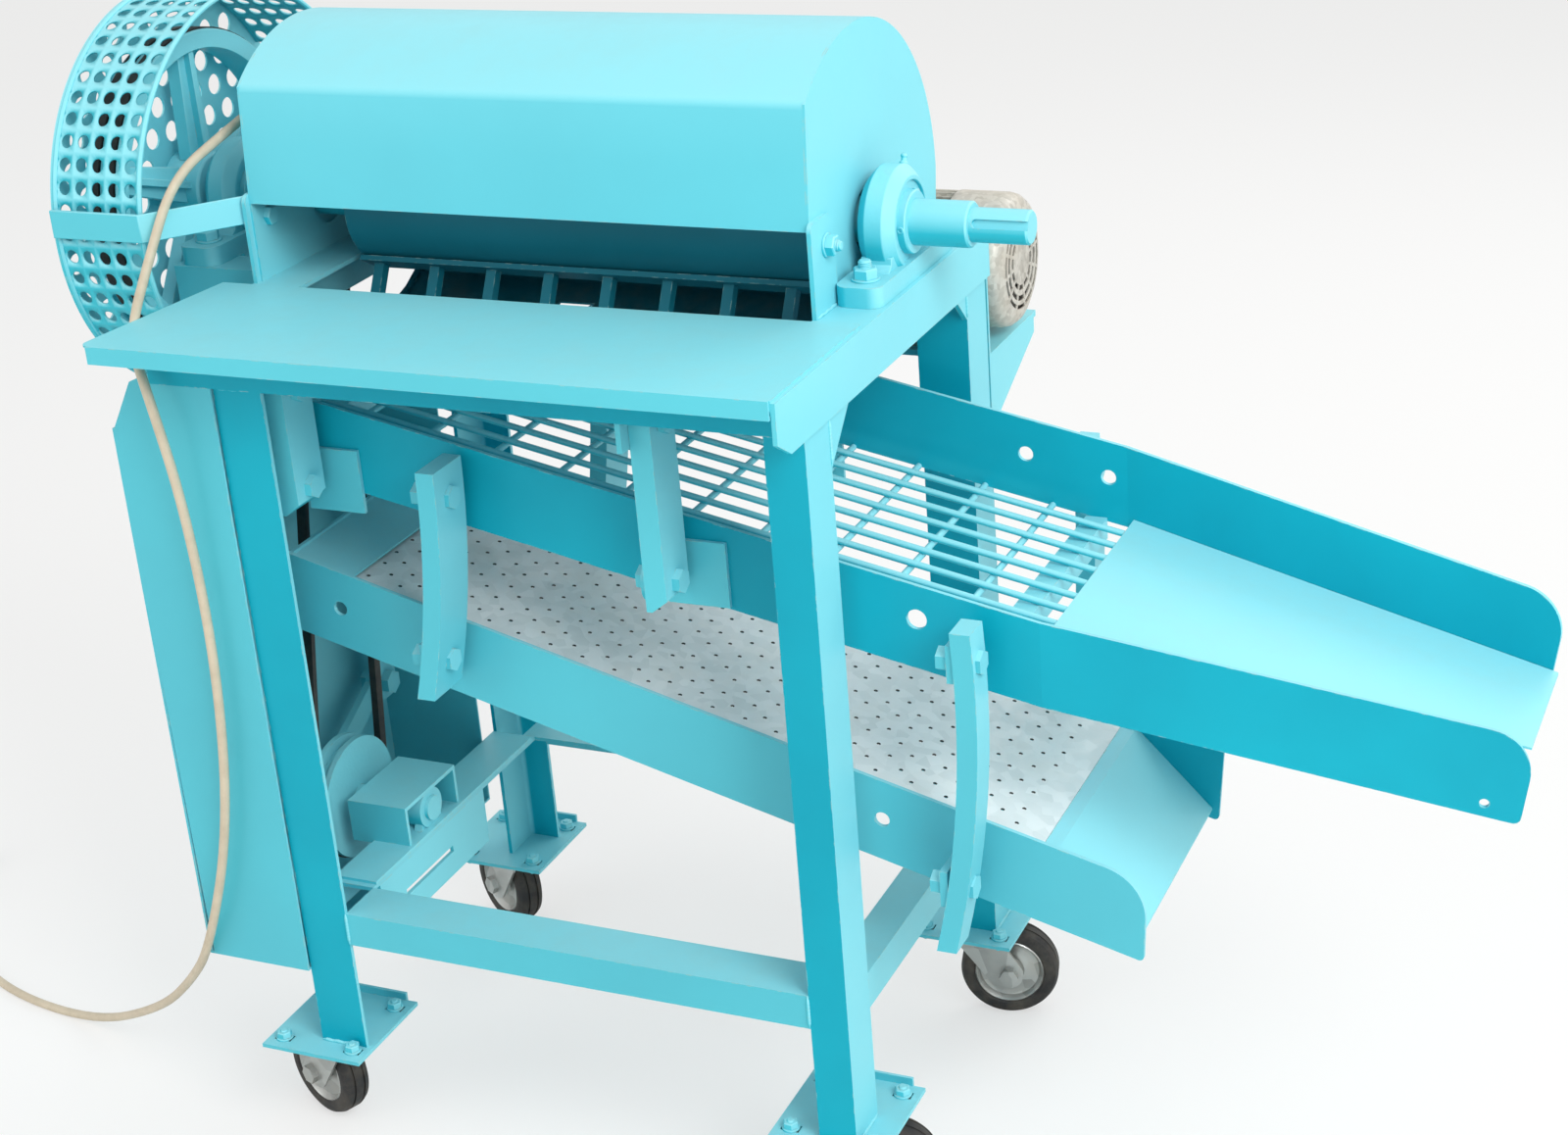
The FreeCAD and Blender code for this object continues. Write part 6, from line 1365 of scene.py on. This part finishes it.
@dataclass
class Motor:
    """Totally enclosed motor: ribbed casing, fan cowl with slots, terminal box and feet."""

    y: float = MOTOR_Y
    z: float = MOTOR_Z
    right: float = RIGHT + 7
    length: float = 250.0
    radius: float = 64.0
    fin: float = 5.0            # height of the ribs
    fins: int = 36
    spokes: int = 12            # of the fan cowl
    blades: int = 8

    def build(self) -> None:
        """Make the casing, cowl, box and feet."""
        left = self.right - self.length
        centre = Vector((0, self.y, self.z))
        shape = Shape()
        core = self.radius - self.fin
        shape.lathe([(left + 12, 20), (left, 21), (left, self.radius - 6), (left + 3, self.radius - 1),
                     (left + 6, self.radius), (left + 16, self.radius), (left + 17, core),
                     (self.right - 61, core), (self.right - 61, 20)], centre, X_AXIS, 96)
        tip = self.radius - 0.6
        for k in range(self.fins):
            turn = Quaternion(X_AXIS, math.radians(360 / self.fins * k))
            corners = ((-1.1, core - 2), (1.1, core - 2), (0.7, tip), (-0.7, tip))
            shape.prism([centre + turn @ Vector((left + 15, y, z)) for y, z in corners],
                        X_AXIS * (self.length - 77))
        base = self.z - 71
        sole = ((-60, base), (60, base), (60, base + 8),
                (34, self.z - 40), (-34, self.z - 40), (-60, base + 8))
        for x in (left + 30, self.right - 104):
            shape.prism([Vector((x, self.y + a, b)) for a, b in sole], X_AXIS * 34)
        box_top = self.z + self.radius + 34
        shape.block((left + 50, self.y - 40, self.z + self.radius - 8),
                    (left + 140, self.y + 40, box_top - 7))
        shape.block((left + 48.5, self.y - 41.5, box_top - 7), (left + 141.5, self.y + 41.5, box_top))
        for dx in (56, 134):
            for dy in (-34, 34):
                shape.lathe([(0, 0.0), (0, 4), (2.4, 3.6), (2.4, 0.0)],
                            Vector((left + dx, self.y + dy, box_top)), Z_AXIS, 16, closed=False)
        make_piece("motor_casing", shape, Body.FRAME.value, CASING, ("motor_body",), soften=1.0)
        gland = Shape()
        gland.lathe([(0, 4.7), (0, 10), (1, 11), (8, 11), (9, 9.4), (18, 9.4), (19, 8.6), (19, 4.7)],
                    Vector((left + 50, self.y, self.z + self.radius + 12)), -X_AXIS, 24)
        make_piece("cord_gland", gland, Body.FRAME.value, MOULDED)
        self.cowl()

    def cowl(self) -> None:
        """Pressed fan cowl with ring slots in its end."""
        x = self.right
        r = self.radius
        shell = Shape()
        shell.lathe([(x - 62, r - 1.4), (x - 62, r), (x - 16, r), (x - 9, r - 1.6), (x - 3.5, r - 6),
                     (x - 0.6, r - 13), (x, r - 18), (x, 47), (x - 1.4, 47), (x - 1.4, r - 18),
                     (x - 4.5, r - 8), (x - 14, r - 1.6)], Vector((0, self.y, self.z)), X_AXIS, 96)
        centre = Vector((x - 0.7, self.y, self.z))
        for inner, outer in ((38.0, 42.0), (28.0, 33.0), (0.5, 23.0)):
            shell.lathe([(-0.7, inner), (-0.7, outer), (0.7, outer), (0.7, inner)], centre, X_AXIS, 72)
        for k in range(self.spokes):
            turn = Quaternion(X_AXIS, math.radians(360 / self.spokes * k + 7))
            corners = ((-1.6, 20), (1.6, 20), (1.6, 48), (-1.6, 48))
            shell.prism([centre + turn @ Vector((-0.6, y, z)) for y, z in corners], X_AXIS * 1.2)
        make_piece("motor_fan_cowl", shell, Body.FRAME.value, CASING)
        fan = Shape()
        hub = Vector((x - 22, self.y, self.z))
        fan.lathe([(-20, 0.0), (-20, 18), (8, 16), (8, 0.0)], hub, X_AXIS, 32, closed=False)
        fan.lathe([(-22, 0.0), (-22, 56), (-20, 56), (-20, 0.0)], hub, X_AXIS, 48, closed=False)
        for k in range(self.blades):
            turn = Quaternion(X_AXIS, math.radians(360 / self.blades * k))
            corners = ((-1, 16), (1, 16), (1, 54), (-1, 54))
            fan.prism([hub + turn @ Vector((-20, y, z)) for y, z in corners], X_AXIS * 26)
        make_piece("motor_fan", fan, Body.FRAME.value, MOULDED)


# Bearings


@dataclass
class PillowBlocks:
    """Cast pillow blocks of the drum shaft with their inner rings."""

    centres: tuple[float, float] = BEARINGS
    base_length: float = 184.0
    base_width: float = 42.0
    base_height: float = 18.0
    body_radius: float = 49.0
    body_width: float = 34.0
    race: float = 35.75         # bore that the inner ring turns in
    corner: float = 12.0        # radius of the foot's corners
    bolt_spread: float = 137.0
    bolt_hole: float = 6.6      # radius

    def foot(self, x: float) -> bpy.types.Object:
        """Foot with rounded ends and its bolt holes.

        Args:
            x: Middle plane of the block.

        Returns:
            Mesh object that isn't linked yet.
        """
        along = self.base_length / 2 - self.corner
        across = self.base_width / 2 - self.corner
        outline: list[Point2] = []
        corners = ((across, along), (-across, along), (-across, -along), (across, -along))
        for k, (cx, cy) in enumerate(corners):
            outline += arc_points((x + cx, SHAFT_Y + cy), self.corner, 90 * k, 90 * k + 90, 8)
        holes = [(x, SHAFT_Y + side * self.bolt_spread / 2, self.bolt_hole) for side in (-1, 1)]
        place = Matrix.Translation(Vector((0, 0, (TOP + self.base_height / 2) * MM)))
        return pierced_plate("bearing_foot", outline, holes, self.base_height, place, 24)

    def build(self) -> None:
        """Make both blocks and their rings."""
        for index, x in enumerate(self.centres):
            side = ("right", "left")[index]
            foot = self.foot(x)
            foot.name = "bearing_foot_" + side
            settle_piece(foot, Body.FRAME.value, PAINT_CAST, soften=2.2)
            centre = Vector((x, SHAFT_Y, SHAFT_Z))
            half = self.body_width / 2
            outer = self.body_radius
            body = Shape()
            body.lathe([(-half, self.race), (-half, outer - 9), (-half + 1.5, outer - 7.5),
                        (-half + 6, outer - 2.5), (-half + 9, outer), (half - 9, outer),
                        (half - 6, outer - 2.5), (half - 1.5, outer - 7.5), (half, outer - 9),
                        (half, self.race)], centre, X_AXIS, 96)
            shoulder = TOP + self.base_height
            web_top = SHAFT_Z - self.race - 4
            webs = [[(52 * flip, shoulder - 3), (50 * flip, shoulder + 1), (44 * flip, shoulder + 5),
                     (43 * flip, SHAFT_Z - 20), (36 * flip, SHAFT_Z - 20), (28 * flip, shoulder - 3)]
                    for flip in (-1, 1)]
            webs.append([(-40, shoulder - 3), (40, shoulder - 3), (26, web_top), (-26, web_top)])
            for corners in webs:
                outline = [Vector((x - half + 3, SHAFT_Y + a, b)) for a, b in corners]
                body.prism(outline, X_AXIS * (self.body_width - 6))
            nipple = Vector((x + 4, SHAFT_Y + 20, SHAFT_Z + outer - 7))
            body.lathe([(0, 0.0), (0, 4), (4, 4), (5, 2.4), (8, 2.4), (9, 3.2), (11, 2.6), (12, 0.0)], nipple,
                       Vector((0, 0.35, 1)), 20, closed=False)
            make_piece("bearing_block_" + side, body, Body.FRAME.value, PAINT_CAST,
                       ("bearing_housings",), soften=0.8)
            self.ring(x, 1 if index == 0 else -1, side)

    def ring(self, x: float, outward: int, side: str) -> None:
        """Inner ring with its seal groove and two set screws.

        Args:
            x: Middle plane of the block.
            outward: 1 where its long side points to +X, or -1.
            side: Side of the machine that its name ends with.
        """
        ring = Shape()
        points = [(-19, 20.05), (-19, 26.5), (-18, 27.5), (-14, 27.5), (-14, 35.6), (-12.6, 35.6),
                  (-12.6, 34.0), (-11, 33.0), (11, 33.0), (12.6, 34.0), (12.6, 35.6), (14, 35.6),
                  (14, 27.5), (20, 27.5), (21, 26.5), (21, 20.05)]
        centre = Vector((x, SHAFT_Y, SHAFT_Z))
        ring.lathe(points, centre, X_AXIS * outward, 80)
        for degrees in (180, 60):
            angle = math.radians(degrees)
            out = Vector((0, math.cos(angle), math.sin(angle)))
            start = centre + X_AXIS * (outward * 17.0) + out * 24
            ring.lathe([(0, 0.0), (0, 3.2), (4.2, 3.2), (4.6, 2.8), (4.6, 1.7), (2.6, 1.6), (2.6, 0.0)],
                       start, out, 18, closed=False)
        replaced = ("bearing_rings",) if outward > 0 else ()
        make_piece("bearing_ring_" + side, ring, Body.DRUM.value, PAINT, replaced)


# Trays


@dataclass
class LowerSheet:
    """Galvanised tray sheet with small drilled holes in staggered rows."""

    slope: float = 14.8         # degrees
    pitch: float = 27.0
    row_share: float = 0.6      # spacing of the rows, as a share of the pitch
    hole: float = 2.0           # radius
    first_row: float = 16.0
    first_hole: float = 14.0
    margin: float = 8.0         # plain edge
    trim: float = 0.5           # gap to the boards
    drift: tuple[float, float] = (1.6, 1.2)     # how far hand drilling strays
    thickness: float = 2.0

    def build(self) -> None:
        """Make the sheet in the slope of its solid."""
        low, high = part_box("lower_sheet")
        low, high = low / MM, high / MM
        slope = math.radians(self.slope)
        length = (high.x - low.x) / math.cos(slope)
        width = high.y - low.y
        near, far, wide = self.trim, length - self.trim, width - self.trim
        outline = [(near, near), (far, near), (far, wide), (near, wide)]
        holes = []
        row = self.pitch * self.row_share
        for i in range(int((length - 20) / row)):
            for j in range(int(width / self.pitch)):
                u = self.first_row + row * i
                v = self.first_hole + self.pitch * (j + 0.5 * (i % 2))
                if v < width - self.margin and u < length - self.margin:
                    u += self.drift[0] * math.sin(12.9 * i + 7.7 * j)
                    v += self.drift[1] * math.cos(5.1 * i + 3.3 * j)
                    holes.append((u, v, self.hole))
        tilt = Matrix.Rotation(slope, 4, "Y")
        place = Matrix.Translation(Vector((low.x, low.y, high.z - self.thickness / 2)) * MM) @ tilt
        sheet = pierced_plate("tray_sheet", outline, holes, self.thickness, place, 10)
        settle_piece(sheet, Body.SHAKER.value, GALVANISED, ("lower_sheet",))


# Fasteners


@dataclass
class Fasteners:
    """Hex bolts with chamfered heads, washers, nuts and rolled threads.

    The first five sizes are shares of the shank's radius.
    """

    flats: float = 3.2          # width of head and nut across the flats
    head: float = 1.2           # height of the head
    nut: float = 1.5            # height of the nut
    washer: float = 2.1         # radius of the washer
    root: float = 0.84          # radius at the root of the thread
    washer_thickness: float = 2.0
    thread: float = 1.5         # pitch, coarser than real on the small bolts so that it shows

    def bolt(self, shape: Shape, head: Vector, axis: Vector, grip: float, r: float, tail: float) -> None:
        """Add one bolt.

        Args:
            shape: Shape that gets it.
            head: Point on the face under the head.
            axis: Direction from the head to the nut.
            grip: Thickness of what it clamps.
            r: Radius of its shank.
            tail: Thread that stands past the nut.
        """
        along = axis.normalized()
        across = r * self.flats
        wide = r * self.washer
        seat = grip + self.washer_thickness
        self.hexagon(shape, head, -along, across, r * self.head)
        shape.lathe([(grip, r), (grip, wide - 0.3), (grip + 0.3, wide), (seat - 0.3, wide),
                     (seat, wide - 0.3), (seat, r)], head, along, 32)
        self.hexagon(shape, head + along * seat, along, across, r * self.nut)
        at = seat + r * self.nut - 0.5
        end = grip + r * 1.6 + tail
        profile: list[Point2] = [(0.0, 0.0), (0.0, r * 0.97), (at, r * 0.97)]
        while at + self.thread < end - 1:
            profile += [(at + self.thread * 0.5, r), (at + self.thread, r * self.root)]
            at += self.thread
        profile += [(end - 0.6, r * self.root), (end, r * 0.7), (end, 0.0)]
        shape.lathe(profile, head, along, 24, closed=False)

    def hexagon(self, shape: Shape, base: Vector, axis: Vector, across: float, height: float) -> None:
        """Add a hexagonal head or nut with its corners turned off at the top.

        Args:
            shape: Shape that gets it.
            base: Middle of its lower face.
            axis: Direction from there to its top.
            across: Width across the flats.
            height: Its height.
        """
        side = axis.orthogonal().normalized()
        other = axis.cross(side)
        corner = across / math.sqrt(3)
        chamfer = height * 0.14
        rings = ((0.0, 1.0), (height - chamfer, 1.0), (height, 0.9))
        points = []
        for up, share in rings:
            for k in range(6):
                angle = math.radians(60 * k + 12)
                out = side * math.cos(angle) + other * math.sin(angle)
                points.append(base + axis * up + out * corner * share)
        faces: list[tuple[int, ...]] = [(5, 4, 3, 2, 1, 0), (12, 13, 14, 15, 16, 17)]
        for ring in (0, 6):
            faces += [(ring + k, ring + (k + 1) % 6, ring + 6 + (k + 1) % 6, ring + 6 + k) for k in range(6)]
        shape.add(points, faces)

    def plate_bolts(self) -> list[Vector]:
        """Spots of the bolts that hold the casters.

        Returns:
            Points under the heads, four to a caster.
        """
        middles = ((RIGHT - 32, FRONT + 50), (LEFT + 1, FRONT + 34),
                   (RIGHT - 36, REAR - 25), (LEFT - 4, REAR - 25))
        return [Vector((x + sx, y + sy, FOOT - 6.5))
                for x, y in middles for sx in (-39, 39) for sy in (-39, 39)]

    def build(self) -> None:
        """Make the bearing, hood and caster bolts."""
        shape = Shape()
        for x in BEARINGS:
            for side in (-1, 1):
                self.bolt(shape, Vector((x, SHAFT_Y + side * 68.5, TOP - STEEL)), Z_AXIS, grip=22, r=6,
                          tail=8)
        y, z = POST_Y + 30, TOP + 56
        self.bolt(shape, Vector((RIGHT - 52, y, z)), X_AXIS, grip=6, r=5, tail=6)
        self.bolt(shape, Vector((RIGHT - 598, y, z)), -X_AXIS, grip=6, r=5, tail=6)
        for spot in self.plate_bolts():
            self.bolt(shape, spot, Z_AXIS, grip=6.5, r=4, tail=3)
        make_piece("frame_hex_bolts", shape, Body.FRAME.value, PAINT, ("frame_bolts",),
                   soften=0.3)


# Weld beads


@dataclass
class Welds:
    """Hand-laid weld beads along the joints of the frame, with ripples."""

    ripple: float = 3.4
    sway: float = 0.35          # how far the hand strays
    proud: float = 0.8          # beads on top of a plate stand out by this

    def bead(self, shape: Shape, start: Sequence[float], stop: Sequence[float], radius: float) -> None:
        """Add a rippled bead.

        Args:
            shape: Shape that gets it.
            start: One end of the seam.
            stop: Its other end.
            radius: Radius of the bead where it is full.
        """
        a, b = Vector(start), Vector(stop)
        steps = max(4, int((b - a).length / (self.ripple / 3)))
        path, radii = [], []
        for k in range(steps + 1):
            t = k / steps
            path.append(a.lerp(b, t) + Vector((0, 0, self.sway * math.sin(k * 0.61 + a.x))))
            end = min(1.0, 4 * t + 0.35, 4 * (1 - t) + 0.35)
            radii.append(radius * end * (0.86 + 0.16 * abs(math.sin(k * math.pi / 3 + 0.3))))
        shape.tube(path, radii, 10)

    def seams(self) -> list[tuple[Point3, Point3, float]]:
        """Seams between rails, legs, gussets, arms and posts.

        Returns:
            Both ends and the bead's radius of each seam.
        """
        face = RIGHT - STEEL
        front = FRONT + STEEL
        under, low = TOP - 50, FOOT + 150
        plate, top = FOOT + self.proud, TOP + self.proud
        found: list[tuple[Point3, Point3, float]] = []
        for x, inward, reach in ((face, -1, 37), (LEFT, 1, 50)):
            y, foot = front - 0.3, x + inward * reach
            found += [((x + inward * 36, y, under), (x + inward * 2, y, under), 1.9),
                      ((foot, front, low - 33), (foot, front, low), 1.8)]
        found += [((face, FRONT + 54, under), (face, FRONT + 98, under), 1.9),
                  ((face, FRONT + 54, TOP - 94), (face, FRONT + 54, TOP - 52), 1.9),
                  ((face, REAR - 54, TOP - 74), (face, REAR - 54, TOP - 52), 1.9),
                  ((face, REAR - 78, under), (face, REAR - 54, under), 1.9)]
        for x in (face, LEFT):
            for y0, y1 in ((front, FRONT + 54), (REAR - 54, REAR - 4)):
                found.append(((x, y0, plate), (x, y1, plate), 2.0))
        for x in (face - 36, LEFT):
            found.append(((x, FRONT + 3.6, plate), (x + 36, FRONT + 3.6, plate), 2.0))
        for y in (SHAFT_Y - 94, SHAFT_Y + 94):
            found.append(((POST_LEFT, y, TOP - 38), (POST_LEFT, y, TOP - 4), 1.8))
        for x in (POST_RIGHT, POST_LEFT):
            found.append(((x, POST_Y + 2, top), (x, POST_Y + 46, top), 1.7))
        return found

    def build(self) -> None:
        """Make the beads of the frame."""
        shape = Shape()
        for start, stop, radius in self.seams():
            self.bead(shape, start, stop, radius)
        make_piece("frame_weld_beads", shape, Body.FRAME.value, PAINT_CAST)


# CAD nodes that keep their shape


@dataclass
class SteelWork:
    """Finishes and soft edges of the nodes that keep their solids."""

    # width of the rounded edges in millimetres, and the nodes that have it
    soft: dict[float, tuple[str, ...]] = field(default_factory=lambda: {
        0.4: ("caster_heads", "chute_floor", "fork_front_left", "fork_front_right",
              "fork_rear_left", "fork_rear_right", "hood_ends", "main_shaft"),
        0.5: ("belt_guard", "lower_chute"),
        0.6: ("feed_table", "foot_plates", "hanger_lugs"),
        0.7: ("crank_bracket", "lower_end", "motor_base", "shaker_lugs"),
        0.8: ("hood_posts", "line_shaft_brackets", "lower_front_board", "lower_rear_board", "pitman",
              "upper_front_board", "upper_rear_board"),
        0.9: ("bearing_arms", "low_rails_long", "low_rails_side", "top_rails_cross", "top_rails_side"),
        1.0: ("legs",),
        1.2: ("links",),
        1.4: ("hanger_front_left", "hanger_front_right", "hanger_rear_left", "hanger_rear_right")})
    # the other nodes have the paint of the open frame
    finishes: dict[Finish, tuple[str, ...]] = field(default_factory=lambda: {
        ZINC_PLATE: ("caster_heads", "fork_front_left", "fork_front_right", "fork_rear_left",
                     "fork_rear_right"),
        TURNED: ("line_shaft",),
        MOULDED: ("cord_plug",),
        PAINT_INSIDE_SHADE: ("concave_bars", "concave_frame", "drum_bars", "drum_tube"),
        PAINT_CAST: ("crank", "line_shaft_brackets"),
        PAINT_SHADED: ("hanger_rear_left", "hanger_rear_right", "legs", "lower_rear_board", "top_rails_cross",
                       "upper_front_board", "upper_rear_board"),
        PAINT_LOW_SHADE: ("belt_guard", "foot_plates", "links", "low_rails_long", "low_rails_side", "lower_end",
                    "lower_front_board")})

    def build(self) -> None:
        """Dress each node that is still shown."""
        finish_of = {name: finish for finish, names in self.finishes.items() for name in names}
        width_of = {name: width for width, names in self.soft.items() for name in names}
        for name, node in sorted(frame["nodes"].items()):
            if node.hide_render:
                continue
            finish = finish_of.get(name, PAINT)
            if node.material_slots:
                for holder in node.material_slots:
                    holder.material = finish.material()
            else:
                node.data.materials.append(finish.material())
            if name in width_of:
                soften_edges(node, width_of[name])
            log.info("%s dressed", name)


def main() -> None:
    """Build the scene in order."""
    logging.basicConfig(level=logging.INFO, format="%(name)s: %(message)s")
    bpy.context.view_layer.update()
    Studio().build()
    PowerCord().build()
    PulleyGuard().build()
    Hood().build()
    BeltDrive().build()
    PillowBlocks().build()
    Motor().build()
    for name in ("front_right", "front_left", "rear_right", "rear_left"):
        CasterWheel(name).build()
    LowerSheet().build()
    Fasteners().build()
    Welds().build()
    SteelWork().build()


if __name__ == "__main__":
    main()
